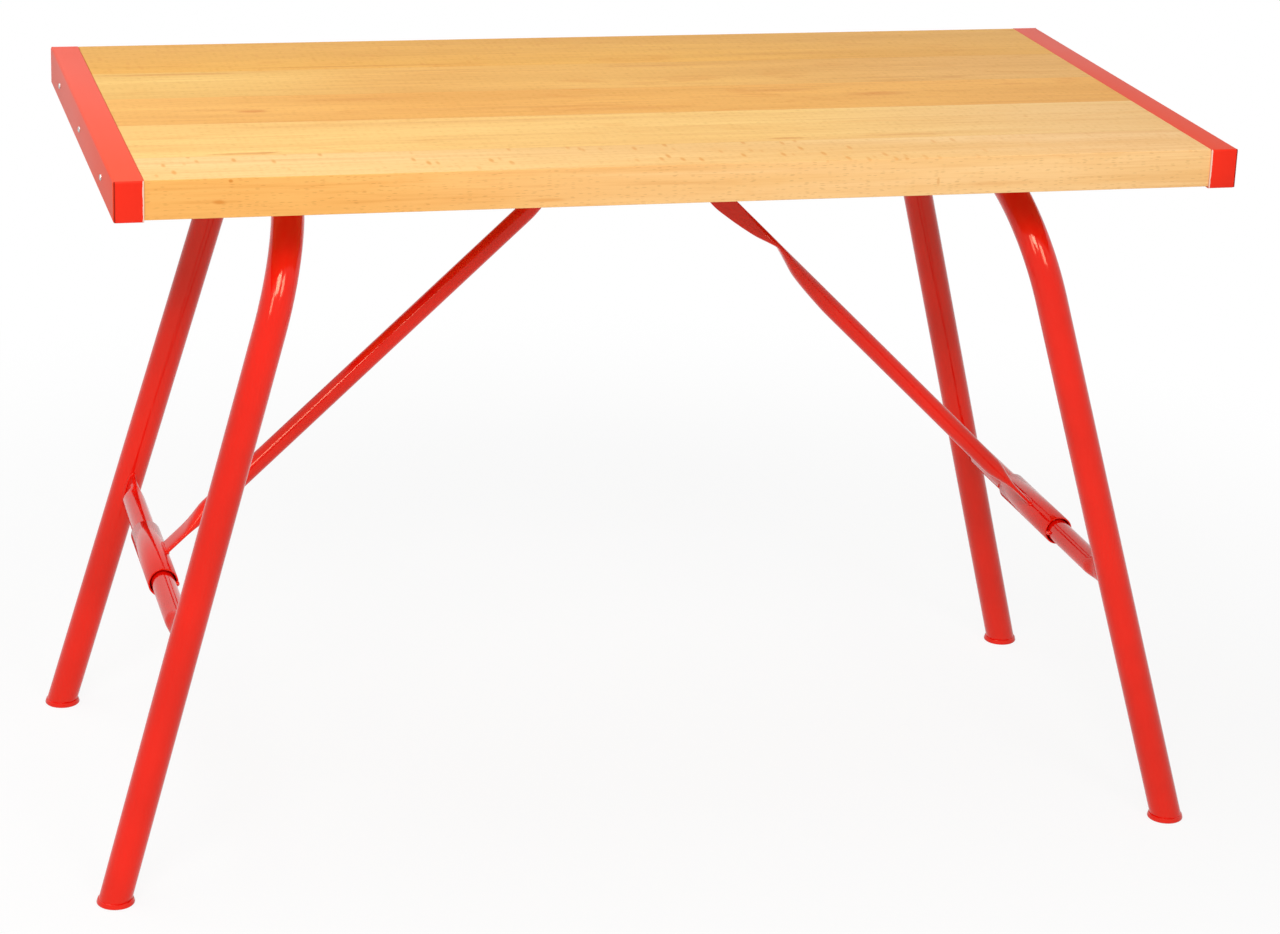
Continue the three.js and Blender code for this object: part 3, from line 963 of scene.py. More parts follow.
@dataclass
class Finishes:
    """Every finish of the bench, made once."""

    boards: list[bpy.types.Material] = field(default_factory=list)
    tube_red: bpy.types.Material | None = None
    channel_red: dict[Side, bpy.types.Material] = field(default_factory=dict)
    metal: dict[Steel, bpy.types.Material] = field(default_factory=dict)

    def make(self) -> Finishes:
        """Builds all materials.

        Returns:
            The finishes themselves.
        """
        for finish in self.beech():
            self.boards.append(finish.material())
        self.tube_red = RedPaint("tube").material()
        # Painted sheen on the channels' faces off the tabs, darker on the right as painted shade.
        faded = {Side.LEFT: (0.88, 0.060, 0.014), Side.RIGHT: (0.76, 0.048, 0.011)}
        for side in Side:
            paint = RedPaint(f"channel_{side.word}", red=(0.88, 0.022, 0.008), gloss=0.42, shine=0.27,
                             chip_at=side.value * 0.5693, seam_at=side.value * 0.5991, faded=faded[side])
            self.channel_red[side] = paint.material()
        for kind in Steel:
            self.metal[kind] = PlatedSteel(kind).material()
        log.info("finishes: %d materials", len(bpy.data.materials))
        return self

    @staticmethod
    def beech() -> list[Beech]:
        """The five boards, front to rear.

        Returns:
            Their finishes.
        """
        front = (
            Mark(-0.483, 0.7968, 0.0030, 0.0024, 0.95),
            Mark(-0.495, 0.7757, 0.0085, 0.0030, 0.80),
            Mark(-0.500, 0.7760, 0.0500, 0.0028, 0.30),
            Mark(-0.160, 0.7672, 0.0300, 0.0030, 0.35),
            Mark(0.262, 0.7740, 0.0022, 0.0060, 0.45),
            Mark(0.330, 0.7700, 0.0600, 0.0035, 0.25),
        )
        second = (
            Mark(-0.455, -0.2060, 0.0500, 0.0060, 0.60),
            Mark(-0.430, -0.2040, 0.0160, 0.0040, 0.70),
            Mark(-0.240, -0.1700, 0.0800, 0.0050, 0.22),
            Mark(0.125, -0.2030, 0.0300, 0.0050, 0.60),
            Mark(0.260, -0.2000, 0.0700, 0.0060, 0.35),
            Mark(0.420, -0.1350, 0.0040, 0.0050, 0.40),
        )
        third = (
            Mark(-0.420, -0.0280, 0.0240, 0.0090, 0.60),
            Mark(-0.300, 0.0150, 0.0900, 0.0080, 0.28),
            Mark(0.180, 0.0120, 0.0700, 0.0090, 0.40),
            Mark(0.290, -0.0150, 0.0500, 0.0120, 0.42),
            Mark(-0.020, -0.0550, 0.1200, 0.0100, 0.22),
        )
        fourth = (
            Mark(-0.480, 0.1500, 0.1300, 0.0055, 0.45),
            Mark(0.060, 0.1440, 0.0900, 0.0060, 0.32),
            Mark(0.400, 0.0560, 0.0300, 0.0060, 0.40),
        )
        fifth = (
            Mark(-0.250, 0.1720, 0.2200, 0.0050, 0.32),
            Mark(0.240, 0.1900, 0.1500, 0.0080, 0.20),
        )
        # The near and far tints below are partly each board's own tone and partly painted sheen at the paler,
        # bluer ends.
        return [
            Beech("front", (0.99, 0.665, 0.285), (0.89, 0.525, 0.180), 1.7, 0.36, 0.85, 0.20, front,
                  far=(1.0, 0.97, 1.05)),
            Beech("second", (0.99, 0.645, 0.210), (0.89, 0.505, 0.142), 4.1, 0.36, 0.0, 0.30, second,
                  joint=JOINTS[0]),
            Beech("third", (0.94, 0.495, 0.106), (0.82, 0.390, 0.070), 7.9, 0.48, 0.0, 0.60, third,
                  near=(1.0, 1.04, 1.2), far=(1.0, 1.0, 1.08), joint=JOINTS[1]),
            Beech("fourth", (0.90, 0.500, 0.120), (0.78, 0.390, 0.078), 11.3, 0.48, 0.0, 0.45, fourth,
                  near=(1.06, 1.22, 1.50), joint=JOINTS[2]),
            Beech("rear", (0.91, 0.490, 0.087), (0.80, 0.390, 0.055), 15.2, 0.44, 0.30, 0.45, fifth,
                  joint=JOINTS[3]),
        ]


@dataclass
class Worktop:
    """The five glued boards."""

    finishes: Finishes
    edges: tuple[float, ...] = (-0.3, *JOINTS, 0.3)
    top: float = TOP
    bottom: float = UNDERSIDE
    end: float = 0.598
    shoulder: float = 0.5688
    rebate: float = 0.00185
    ease: float = 0.0012
    soft: float = 20.0

    def build(self) -> None:
        """Builds and settles every board, with rebated ends and eased outer edges."""
        low = self.top - self.rebate
        outline = [(-self.end, self.bottom), (self.end, self.bottom), (self.end, low), (self.shoulder, low),
                   (self.shoulder, self.top), (-self.shoulder, self.top), (-self.shoulder, low),
                   (-self.end, low)]
        for index, (front, rear) in enumerate(zip(self.edges, self.edges[1:])):
            skin = Skin().prism(outline, lambda u, v, depth: Vector((u, depth, v)), front, rear)
            name = f"board_{index + 1}"
            piece = skin.piece(f"plank_{index + 1}", self.finishes.boards[index], self.ease, self._outer,
                               self.soft)
            settle(piece, "top", [name])

    def _outer(self, first: Vector, second: Vector) -> bool:
        """True for the top's long outer edges, by their two ends."""
        long = abs(first.x - second.x) > self.end
        return long and all(abs(abs(point.y) - self.edges[-1]) < MERGE * 10 for point in (first, second))


@dataclass
class EndChannel:
    """A folded steel channel over one end of the boards, with a tab over each edge."""

    finishes: Finishes
    side: Side
    outer: float = WEB_X
    flange: float = 0.0307
    top: float = TOP
    bottom: float = 0.7572
    sheet: float = 0.0018
    half: float = 0.3001
    gap: float = 0.0009
    fold: float = 0.0026
    tab_gap: float = 0.0003
    lip_gap: float = 0.00005
    ease: float = 0.00035
    soft: float = 30.0
    steps: int = 6

    def build(self) -> None:
        """Builds the channel and its tabs as one piece."""
        sign = self.side.value
        skin = Skin()
        skin.prism(self._profile(), lambda u, v, depth: Vector((sign * u, depth, v)), -self.half, self.half)
        for row in Row:
            skin.prism(self._tab(), lambda u, v, depth, s=row.value: Vector((sign * depth, s * u, v)),
                       self.outer - self.flange + self.lip_gap, self.outer - self.gap)
        name = f"end_channel_{self.side.word}"
        piece = skin.piece(f"channel_{self.side.word}", self.finishes.channel_red[self.side], self.ease,
                           soft=self.soft)
        settle(piece, "top", [name])

    def _profile(self) -> list[Point]:
        """The C section with rounded folds.

        Returns:
            Its closed outline.
        """
        lip = self.outer - self.flange
        outside, inside = self.fold, self.fold - self.sheet
        middle = self.outer - self.fold
        outline = [(lip, self.bottom)]
        low, high = (middle, self.bottom + self.fold), (middle, self.top - self.fold)
        outline += arc(low, outside, -90, 0, self.steps) + arc(high, outside, 0, 90, self.steps)
        outline += [(lip, self.top), (lip, self.top - self.sheet)]
        outline += arc(high, inside, 90, 0, self.steps) + arc(low, inside, 0, -90, self.steps)
        return outline + [(lip, self.bottom + self.sheet)]

    def _tab(self) -> list[Point]:
        """The tab's section across the edge: over the fold and down.

        Returns:
            Its closed outline.
        """
        near, reach = self.half + self.tab_gap, self.tab_gap + self.sheet
        outline = [(self.half, self.top)] + arc((self.half, self.top - reach), reach, 84, 0, self.steps)
        outline += [(self.half + reach, self.bottom + self.gap), (near, self.bottom + self.gap)]
        return outline + [(near, self.top - self.sheet), (self.half, self.top - self.sheet)]


@dataclass
class Saddles:
    """Four straps that hold the leg frames' top bars under the boards."""

    finishes: Finishes
    pivot_x: float = PIVOT_X
    pivot_z: float = PIVOT_Z
    bore: float = 0.0179
    plate: float = PLATE
    ear: float = 0.041
    row_y: float = SADDLE_Y
    half_width: float = 0.015
    under: float = UNDERSIDE
    ease: float = 0.0005
    steps: int = 24

    def build(self) -> None:
        """Builds and settles every strap."""
        for side in Side:
            for row in Row:
                centre, y = side.value * self.pivot_x, row.value * self.row_y
                skin = Skin().prism(self._outline(), lambda u, v, depth, c=centre: Vector((c + u, depth, v)),
                                    y - self.half_width, y + self.half_width)
                name = f"saddle_{side.word}_{row.word}"
                piece = skin.piece(f"strap_{side.word}_{row.word}", self.finishes.metal[Steel.ZINC],
                                   self.ease)
                settle(piece, "top", [name])

    def _outline(self) -> list[Point]:
        """Half round strap with two flat ears.

        Returns:
            Its closed outline.
        """
        low = self.under - self.plate
        wide = self.bore + self.plate
        outline = [(-self.ear, self.under), (-self.ear, low), (-wide, low)]
        middle = (0.0, self.pivot_z)
        outline += arc(middle, wide, 180, 360, self.steps)
        outline += [(wide, low), (self.ear, low), (self.ear, self.under), (self.bore, self.under)]
        return outline + arc(middle, self.bore, 360, 180, self.steps) + [(-self.bore, self.under)]


@dataclass
class LegFrame:
    """One bent leg tube with its foot caps, crossbar, sleeve stops and welds."""

    finishes: Finishes
    side: Side
    tube: TubeWeave
    bead: BeadWeave
    pivot_x: float = PIVOT_X
    pivot_z: float = PIVOT_Z
    foot_x: float = 0.6047
    splay: float = 0.07845
    corner_y: float = 0.2128
    bend: float = 0.143
    radius: float = 0.0175
    foot_height: float = 0.006
    foot_radius: float = 0.0205
    foot_lip: tuple[Point, ...] = ((0.0022, 0.0), (0.0009, 0.0003), (0.0002, 0.001), (0.0, 0.0019),
                                   (0.0002, 0.0028), (0.0007, 0.0038), (0.001, 0.005), (0.0013, 0.0057))
    bar_distance: float = 0.474
    bar_radius: float = 0.013
    stop_y: float = 0.0816
    stop_seat: float = 0.0003
    clear: float = 0.0002
    spare: float = 0.02
    sides: int = 44
    steps: int = 24
    weld: Point = (0.0017, 0.0034)
    weld_inset: float = 0.0008

    def __post_init__(self) -> None:
        """Works out the frame's axes and half the crossbar's length."""
        self.tilt = math.atan2(self.foot_x - self.pivot_x, self.pivot_z)
        sign = self.side.value
        self.along = Vector((sign * math.sin(self.tilt), 0.0, -math.cos(self.tilt)))
        self.normal = self.along.cross(ACROSS).normalized()
        self.foot_distance = (self.pivot_z - self.foot_height) / math.cos(self.tilt)
        self.lean = math.atan(self.splay)
        bar_y = self.corner_y + self.splay * self.bar_distance
        self.reach = bar_y - self.radius / math.cos(self.lean) - self.clear
        self.body = f"leg_{self.side.word}"

    def at(self, y: float, distance: float) -> Vector:
        """A point in the frame's plane, at a place across the bench and a distance below the top bar."""
        return Vector((self.side.value * self.pivot_x, y, self.pivot_z)) + self.along * distance

    def build(self) -> None:
        """Builds and settles the frame's pieces."""
        self._tube()
        for row in Row:
            self._foot(row)
            self._stop(row)
        self._crossbar()
        self._welds()

    def _path(self) -> list[Vector]:
        """The tube's centre line from front foot to rear foot.

        Returns:
            Its points.
        """
        setback = self.bend / math.tan((math.pi / 2 + self.lean) / 2)
        bar = self.corner_y - setback
        half = []
        for k in range(self.steps + 1):
            heading = k / self.steps * (math.pi / 2 - self.lean)
            half.append((bar + self.bend * math.sin(heading), self.bend * (1 - math.cos(heading))))
        start = half[-1][1]
        for share in (0.25, 0.5, 0.75, 1.0):
            distance = start + (self.foot_distance + self.spare - start) * share
            half.append((self.corner_y + self.splay * distance, distance))
        front = [self.at(-y, distance) for y, distance in reversed(half)]
        return front + [self.at(0.0, 0.0)] + [self.at(y, distance) for y, distance in half]

    def _tube(self) -> None:
        """Sweeps the tube and cuts its feet level."""
        name = f"leg_tube_{self.side.word}"
        piece = self.tube.grow(f"tube_{self.side.word}", path_mesh(name, self._path()), {
            "Radius": self.radius, "Sides": self.sides, "Material": self.finishes.tube_red})
        work = bmesh.new()
        work.from_mesh(piece.data)
        bmesh.ops.remove_doubles(work, verts=work.verts[:], dist=1e-6)
        bmesh.ops.bisect_plane(work, geom=work.verts[:] + work.edges[:] + work.faces[:], dist=1e-6,
                               plane_co=(0.0, 0.0, self.foot_height), plane_no=(0.0, 0.0, -1.0),
                               clear_outer=True)
        bmesh.ops.holes_fill(work, edges=[edge for edge in work.edges if edge.is_boundary], sides=0)
        bmesh.ops.recalc_face_normals(work, faces=work.faces[:])
        work.to_mesh(piece.data)
        work.free()
        settle(dress(piece, self.finishes.tube_red), self.body, [name])

    def _foot(self, row: Row) -> None:
        """Builds one foot cap.

        Args:
            row: Front or rear.
        """
        place = self.at(row.value * (self.corner_y + self.splay * self.foot_distance), self.foot_distance)
        wide, high = self.foot_radius, self.foot_height
        profile = [(0.0, 0.0), *((wide - inset, height) for inset, height in self.foot_lip),
                   (wide - 0.002, high), (0.0, high)]
        skin = Skin().turned(profile, Vector((place.x, place.y, 0.0)), UP, 48)
        name = f"foot_cap_{self.side.word}_{row.word}"
        piece = skin.piece(f"shoe_{self.side.word}_{row.word}", self.finishes.tube_red)
        settle(piece, self.body, [name])

    def _stop(self, row: Row) -> None:
        """Builds one small weld stud beside the sleeve.

        Args:
            row: Front or rear.
        """
        inward = Vector((-self.side.value, 0.0, 0.0))
        root = self.at(row.value * self.stop_y, self.bar_distance)
        root += inward * (self.bar_radius - self.stop_seat)
        profile = [(0.0, 0.0), (0.0026, 0.0), (0.0026, 0.0026), (0.0022, 0.0036), (0.0014, 0.0042),
                   (0.0, 0.0043)]
        skin = Skin().turned(profile, root, inward, 20)
        piece = skin.piece(f"stud_{self.side.word}_{row.word}", self.finishes.tube_red, soft=60.0)
        settle(piece, self.body, [f"sleeve_stop_{self.side.word}_{row.word}"])

    def _crossbar(self) -> None:
        """Builds the crossbar with its squashed ends."""
        round_bar = self.bar_radius
        rows = [[0.80, round_bar, round_bar, 1.0], [0.88, 0.007, 0.0165, 0.9], [0.945, 0.0036, 0.018, 0.75],
                [1.0, 0.0032, 0.0185, 0.75]]
        ends = between_rows(rows, 6, level=True)
        stations = [[-row[0], *row[1:]] for row in reversed(ends)] + ends
        rings = []
        for share, thick, tall, power in stations:
            centre = self.at(share * self.reach, self.bar_distance)
            ring = oval(centre, self.normal, self.along, thick, tall, power)
            if abs(share) == 1.0:
                for point in ring:
                    point.y += share * self.splay * (point - centre).dot(self.along)
            rings.append(ring)
        piece = Skin().loft(rings).piece(f"bar_{self.side.word}", self.finishes.tube_red)
        settle(piece, self.body, [f"crossbar_{self.side.word}"])

    def _welds(self) -> None:
        """Lays a bead round each end of the crossbar."""
        for row in Row:
            centre = self.at(row.value * (self.reach - self.weld_inset), self.bar_distance)
            ring = oval(centre, self.normal, self.along, 0.0040, 0.0190, 0.85, 40)
            for point in ring:
                point.y += row.value * self.splay * (point - centre).dot(self.along)
            name = f"bar_weld_{self.side.word}_{row.word}"
            self.bead.lay(name, ring, self.weld, self.finishes.tube_red, self.body)


@dataclass(frozen=True)
class Seat:
    """Where a brace's head is pinned, and how long its shaped end is against the right one's."""

    x: float
    z: float
    head: float


SEATS = {Side.LEFT: Seat(0.036, 0.7405, 0.5), Side.RIGHT: Seat(0.109, 0.686, 1.0)}


@dataclass
class Brace:
    """The sleeve that turns on a crossbar and the brace welded to it."""

    finishes: Finishes
    leg: LegFrame
    bead: BeadWeave
    radius: float = 0.0105
    sleeve_radius: float = 0.01675
    sleeve_wall: float = 0.002
    sleeve_half: float = 0.077
    tongue: float = 0.0113
    tip: float = 0.0108
    thickness: float = 0.0053
    hole: float = 0.0053
    root_gap: float = 0.00015
    weld: Point = (0.0014, 0.003)
    weld_gap: float = 0.0002

    def __post_init__(self) -> None:
        """Works out the brace's line."""
        self.side = self.leg.side
        self.body = f"brace_{self.side.word}"
        self.centre = self.leg.at(0.0, self.leg.bar_distance)
        self.seat = SEATS[self.side]
        self.pin = Vector((self.side.value * self.seat.x, 0.0, self.seat.z))
        run = self.pin - self.centre
        self.length = run.length
        self.run = run.normalized()
        self.rise = Vector((self.run.z, 0.0, -self.run.x)) * self.side.value

    def build(self) -> None:
        """Builds and settles the sleeve, the brace and the weld."""
        self._sleeve()
        self._bar()
        self._weld()

    def _sleeve(self) -> None:
        """Builds the sleeve with rounded lips."""
        out, wall, half = self.sleeve_radius, self.sleeve_wall, self.sleeve_half
        inner = out - wall
        lip = [(out, half - 0.0008), (out - 0.0003, half - 0.0002), (out - 0.0008, half),
               (inner + 0.0006, half), (inner, half - 0.0006)]
        profile = lip + [(radius, -height) for radius, height in reversed(lip)]
        skin = Skin().collar(profile, self.centre, ACROSS)
        piece = skin.piece(f"turning_sleeve_{self.side.word}", self.finishes.tube_red)
        settle(piece, self.body, [f"sleeve_{self.side.word}"])

    def _bar(self) -> None:
        """Builds the brace: flat foot, round middle, pinch and quarter-turned flat head."""
        length, round_bar = self.length, self.radius
        flat = self.thickness / 2
        offset = round_bar - flat
        reach = self.seat.head
        # Distance, shift across, lift, half width, half thickness and squareness of each section.
        rows = [
            [self.sleeve_radius + self.root_gap, 0.0, 0.0, 0.015, 0.0028, 0.6],
            [0.044, 0.0, 0.0, 0.015, 0.0029, 0.6],
            [0.058, 0.0, 0.0, 0.0135, 0.0055, 0.85],
            [0.084, 0.0, 0.0, round_bar, round_bar, 1.0],
            [length - 0.205 * reach, 0.0, 0.0, round_bar, round_bar, 1.0],
            [length - 0.172 * reach, 0.0, 0.0008, 0.0106, 0.0097, 1.0],
            [length - 0.140 * reach, 0.0, 0.0024, 0.0112, 0.0081, 0.97],
            [length - 0.118 * reach, 0.0003, 0.0053, 0.011, 0.0052, 0.92],
            [length - 0.106 * reach, 0.0008, 0.007, 0.010, 0.0035, 0.88],
            [length - 0.100 * reach, 0.0012, 0.0076, 0.0092, 0.0029, 0.85],
            [length - 0.092 * reach, 0.0023, 0.0066, 0.0076, 0.0039, 0.85],
            [length - 0.074 * reach, 0.005, 0.0037, 0.0048, 0.0068, 0.85],
            [length - 0.052 * reach, 0.0072, 0.0015, 0.0032, 0.009, 0.75],
            [length - 0.036 * reach, offset, 0.0003, flat, 0.0102, 0.6],
            [length - 0.014, offset, -0.0008, flat, self.tongue, 0.6],
            [length + 0.002, offset, -0.0003, flat, self.tip, 0.6],
            [length + 0.008, offset, 0.0, flat, self.tip * 0.8, 0.6],
            [length + 0.012, offset, 0.0, flat, self.tip * 0.42, 0.6],
        ]
        rings = []
        for distance, shift, lift, wide, thick, power in between_rows(rows, 4):
            middle = self.centre + self.run * distance + ACROSS * shift + self.rise * lift
            rings.append(oval(middle, ACROSS, self.rise, wide, thick, power))
        piece = Skin().loft(rings).piece(f"strut_{self.side.word}", self.finishes.tube_red)
        self._drill(piece)
        settle(dress(piece, self.finishes.tube_red), self.body, [f"brace_{self.side.word}"])

    def _drill(self, piece: bpy.types.Object) -> None:
        """Cuts the pin hole through the flat head.

        Args:
            piece: The brace.
        """
        profile = [(0.0, 0.0), (self.hole, 0.0), (self.hole, 0.02), (0.0, 0.02)]
        drill = Skin().turned(profile, self.pin, ACROSS, 32).piece("drill", self.finishes.tube_red)
        modifier = piece.modifiers.new("pin_hole", "BOOLEAN")
        modifier.operation = "DIFFERENCE"
        modifier.solver = "EXACT"
        modifier.object = drill
        freeze(piece)
        bpy.data.objects.remove(drill, do_unlink=True)

    def _weld(self) -> None:
        """Lays a bead where the brace meets the sleeve."""
        centre = self.centre + self.run * (self.sleeve_radius + self.weld_gap)
        ring = oval(centre, ACROSS, self.rise, 0.0155, 0.0034, 0.8, 40)
        name = f"brace_weld_{self.side.word}"
        self.bead.lay(name, ring, self.weld, self.finishes.tube_red, self.body)


@dataclass
class Catch:
    """The bracket under the boards and the spring pin that holds a brace's head."""

    finishes: Finishes
    side: Side
    cheek_radius: float = 0.010
    cheek_y: float = 0.011
    plate: float = PLATE
    under: float = UNDERSIDE
    width: float = 0.036
    plate_end: float = 0.062
    guide_radius: float = 0.0085
    guide_end: float = 0.038
    pin_radius: float = 0.005
    pin_gap: float = 0.0003
    shoulder: float = 0.014
    ease: float = 0.0004
    steps: int = 16

    def __post_init__(self) -> None:
        """Takes its place from the brace's head."""
        seat = SEATS[self.side]
        self.x, self.z = seat.x, seat.z
        self.far = seat.x + self.width

    def build(self) -> None:
        """Builds and settles the bracket and its pin."""
        self._bracket()
        self._pin()

    def _bracket(self) -> None:
        """Builds the cheek, the plate and the pin's guide."""
        sign = self.side.value
        near = self.x - self.cheek_radius
        outline = arc((self.x, self.z), self.cheek_radius, 180, 360, self.steps)
        low = self.under - self.plate
        outline += [(self.far, low - self.shoulder), (self.far, self.under), (near, self.under)]
        flat = [(near, low), (self.far, low), (self.far, self.under), (near, self.under)]
        start, stop = self.cheek_y + self.plate, self.guide_end
        skin = Skin()
        for shape, first, last in ((outline, self.cheek_y, start), (flat, start, self.plate_end)):
            skin.prism(shape, lambda u, v, depth: Vector((sign * u, depth, v)), first, last)
        out, bore = self.guide_radius, self.pin_radius + self.pin_gap
        profile = [(out, start), (out, stop - 0.0008), (out - 0.0008, stop), (bore + 0.0004, stop),
                   (bore, stop - 0.0004), (bore, start)]
        skin.collar(profile, Vector((sign * self.x, 0.0, self.z)), ACROSS, 40)
        piece = skin.piece(f"catch_{self.side.word}", self.finishes.metal[Steel.ZINC], self.ease)
        settle(piece, "top", [f"catch_bracket_{self.side.word}"])

    def _pin(self) -> None:
        """Builds the pin with a ribbed knob."""
        radius, end = self.pin_radius, self.guide_end
        knob = ((radius, 0.0004), (0.0108, 0.0004), (0.0118, 0.0014), (0.012, 0.0022), (0.012, 0.0084),
                (0.0117, 0.0094), (0.0105, 0.0108), (0.0, 0.011))
        profile = [(0.0, 0.0036), (radius - 0.0012, 0.0036), (radius, 0.0048)]
        profile += [(wide, end + height) for wide, height in knob]
        skin = Skin().turned(profile, Vector((self.side.value * self.x, 0.0, self.z)), ACROSS, 64, 0.0006,
                             (end + 0.002, end + 0.009))
        piece = skin.piece(f"pin_{self.side.word}_pull", self.finishes.metal[Steel.PIN])
        settle(piece, f"pin_{self.side.word}", [f"pull_pin_{self.side.word}"])


@dataclass
class Screws:
    """All the pan-head screws, set by one tree."""

    finishes: Finishes
    weave: ScrewWeave
    head_radius: float = 0.005
    channel_share: float = 0.64
    channel_y: tuple[float, ...] = (-0.2, 0.0, 0.2)
    channel_z: float = 0.778
    saddle_x: float = PIVOT_X
    saddle_half: float = 0.031
    saddle_y: float = SADDLE_Y
    catch_offset: tuple[float, ...] = (0.018, 0.030)
    catch_y: float = 0.044
    plate_z: float = UNDERSIDE - PLATE
    web_x: float = WEB_X

    def build(self) -> None:
        """Builds the head, sets it on every place and settles the result."""
        places = self._places()
        mesh = path_mesh("screw_places", [place for place, _, _ in places], joined=False)
        for name, kind in (("facing", "FLOAT_VECTOR"), ("share", "FLOAT")):
            mesh.attributes.new(name, kind, "POINT")
        facing, share = mesh.attributes["facing"], mesh.attributes["share"]
        for index, (_, direction, _) in enumerate(places):
            facing.data[index].vector = direction
            share.data[index].value = self.channel_share if direction.z == 0.0 else 1.0
        head = self._head()
        piece = self.weave.grow("screws", mesh, {
            "Head": head, "Head Radius": self.head_radius, "Material": self.finishes.metal[Steel.SCREW]})
        bpy.data.objects.remove(head, do_unlink=True)
        settle(dress(piece, self.finishes.metal[Steel.SCREW]), "top",
               [node for _, _, node in places])

    def _places(self) -> list[tuple[Vector, Vector, str]]:
        """Every screw's place.

        Returns:
            Its seat, its outward direction and its node.
        """
        places = []
        for side in Side:
            sign = side.value
            for k, y in enumerate(self.channel_y):
                seat = Vector((sign * self.web_x, y, self.channel_z))
                places.append((seat, Vector((sign, 0.0, 0.0)), f"channel_screw_{side.word}_{k + 1}"))
            for row in Row:
                for k, offset in enumerate((-self.saddle_half, self.saddle_half)):
                    seat = Vector((sign * self.saddle_x + offset, row.value * self.saddle_y, self.plate_z))
                    places.append((seat, DOWN, f"saddle_screw_{side.word}_{row.word}_{k + 1}"))
            for k, offset in enumerate(self.catch_offset):
                seat = Vector((sign * (SEATS[side].x + offset), self.catch_y, self.plate_z))
                places.append((seat, DOWN, f"catch_screw_{side.word}_{k + 1}"))
        return places

    def _head(self) -> bpy.types.Object:
        """A unit pan head with a cross recess, along +Z.

        Returns:
            The helper object.
        """
        rings, count = [], 32
        for radius, height in ((1.0, 0.01), (1.0, 0.20), (0.97, 0.30), (0.86, 0.44), (0.70, 0.53),
                               (0.52, 0.58), (0.40, 0.595), (0.27, 0.60), (0.14, 0.60)):
            ring = []
            for k in range(count):
                angle = 2 * math.pi * k / count
                arm = max(abs(math.cos(angle)), abs(math.sin(angle)))
                slot = arm > 0.96 and radius < 0.60 or radius < 0.20
                drop = 0.24 if slot else 0.0
                ring.append(Vector((radius * math.cos(angle), radius * math.sin(angle), height - drop)))
            rings.append(ring)
        rings.append([Vector((0.0, 0.0, 0.34))])
        return Skin().loft(rings).piece("screw_head", self.finishes.metal[Steel.SCREW])


@dataclass
class Softbox:
    """One soft studio lamp."""

    name: str
    place: Place
    target: Place
    size: Point
    power: float

    def build(self) -> None:
        """Makes the lamp and turns it to its target."""
        data = bpy.data.lights.new(self.name, "AREA")
        data.shape = "RECTANGLE"
        data.size, data.size_y = self.size
        data.energy = self.power
        lamp = link(bpy.data.objects.new(self.name, data))
        lamp.location = self.place
        aim = Vector(self.target) - Vector(self.place)
        lamp.rotation_euler = aim.to_track_quat("-Z", "Y").to_euler()


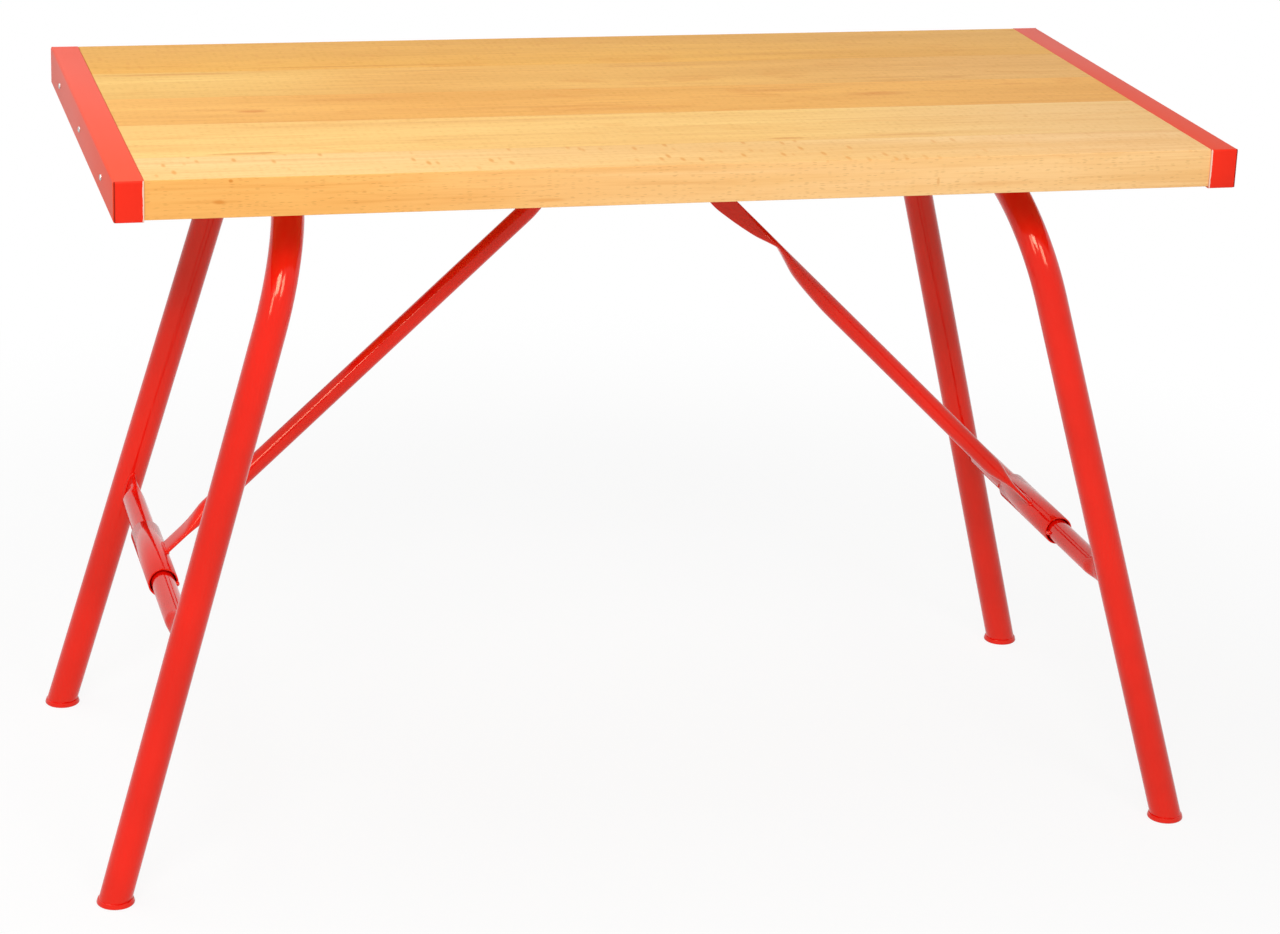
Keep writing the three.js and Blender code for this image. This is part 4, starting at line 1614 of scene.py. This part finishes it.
@dataclass
class Studio:
    """Floor, world, lamps and camera."""

    sensor: float = 36.0
    lens: float = 97.5423
    clip: Point = (0.05, 100.0)
    camera_at: Place = (-0.97705, -3.62390, 1.68787)
    right: Place = (0.9660636, -0.2554607, 0.0382234)
    down: Place = (-0.0501150, -0.3305333, -0.9424628)
    forward: Place = (0.2533963, 0.9085634, -0.3321186)
    world_light: float = 0.20
    floor_half: float = 30.0
    floor_drop: float = 0.0005
    floor_colour: tuple[float, float, float, float] = (0.90, 0.90, 0.90, 1.0)
    floor_shadow: float = 0.11
    shadow_end: Point = (0.8, 1.9)

    def build(self) -> None:
        """Makes the whole stage."""
        bpy.context.scene.view_settings.view_transform = "Standard"
        self._world()
        self._floor()
        for lamp in (
            Softbox("key", (-1.69, -3.94, 3.74), (-0.3, 0.0, 0.6), (1.8, 1.4), 116.0),
            Softbox("fill", (0.89, -4.52, 3.15), (0.3, 0.0, 0.6), (1.4, 1.4), 58.0),
            Softbox("strip", (-2.80, -3.24, 2.40), (-0.3, 0.0, 0.5), (0.8, 1.2), 22.0),
            Softbox("overhead", (-1.1, 0.2, 3.3), (-0.3, 0.0, 0.8), (2.4, 1.6), 39.0),
        ):
            lamp.build()
        self._camera()

    def _world(self) -> None:
        """White for what the eye and reflections see, a plainer level as light."""
        world = bpy.data.worlds.new("studio")
        world.use_nodes = True
        bpy.context.scene.world = world
        world.node_tree.nodes.clear()
        graph = Graph(world.node_tree)
        seen = self._seen(graph)
        light, white = (graph.node("ShaderNodeBackground", {}, {"Color": WHITE, "Strength": strength})
                        for strength in (self.world_light, 1.0))
        both = graph.node("ShaderNodeMixShader", {}, {0: seen, 1: light, 2: white})
        graph.node("ShaderNodeOutputWorld", {}, {"Surface": both})

    @staticmethod
    def _seen(graph: Graph) -> Wire:
        """1 for camera, glossy and transmission rays.

        Args:
            graph: The tree.

        Returns:
            The mask.
        """
        camera = graph.node("ShaderNodeLightPath", {}, {}, "Is Camera Ray")
        ways = camera.socket.node.outputs
        return camera.most(Wire(graph, ways["Is Glossy Ray"])).most(Wire(graph, ways["Is Transmission Ray"]))

    def _floor(self) -> None:
        """A pale floor that keeps the bench's shadow."""
        graph = Shader("pale_floor")
        seen = self._seen(graph)
        paint = graph.node("ShaderNodeBsdfDiffuse", {}, {"Color": self.floor_colour})
        glow = graph.node("ShaderNodeEmission", {}, {"Color": WHITE, "Strength": 1.0})
        away = graph.node("ShaderNodeVectorMath", {"operation": "LENGTH"}, {0: graph.place}, "Value")
        share = seen * (away.step(*self.shadow_end) * self.floor_shadow + (1.0 - self.floor_shadow))
        both = graph.node("ShaderNodeMixShader", {}, {0: share, 1: paint, 2: glow})
        graph.node("ShaderNodeOutputMaterial", {}, {"Surface": both})
        mesh = bpy.data.meshes.new("floor")
        half = self.floor_half
        corners = [(-half, -half, 0.0), (half, -half, 0.0), (half, half, 0.0), (-half, half, 0.0)]
        mesh.from_pydata(corners, [], [(0, 1, 2, 3)])
        mesh.materials.append(graph.material)
        floor = link(bpy.data.objects.new("floor", mesh))
        floor.location.z = -self.floor_drop

    def _camera(self) -> None:
        """The photograph's view."""
        data = bpy.data.cameras.new("view")
        data.sensor_width, data.lens = self.sensor, self.lens
        data.clip_start, data.clip_end = self.clip
        camera = link(bpy.data.objects.new("view", data))
        columns = (Vector(self.right), -Vector(self.down), -Vector(self.forward))
        turn = Matrix(columns).transposed().to_4x4()
        camera.matrix_world = Matrix.Translation(Vector(self.camera_at)) @ turn
        bpy.context.scene.camera = camera


def main() -> None:
    """Builds the bench's pieces in order, then the stage."""
    logging.basicConfig(level=logging.INFO, format="%(name)s %(message)s")
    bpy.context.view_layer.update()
    finishes = Finishes().make()
    tube, bead, screws = TubeWeave(), BeadWeave(), ScrewWeave()
    Worktop(finishes).build()
    Saddles(finishes).build()
    for side in Side:
        EndChannel(finishes, side).build()
        leg = LegFrame(finishes, side, tube, bead)
        leg.build()
        Brace(finishes, leg, bead).build()
        Catch(finishes, side).build()
    Screws(finishes, screws).build()
    Studio().build()


if __name__ == "__main__":
    main()
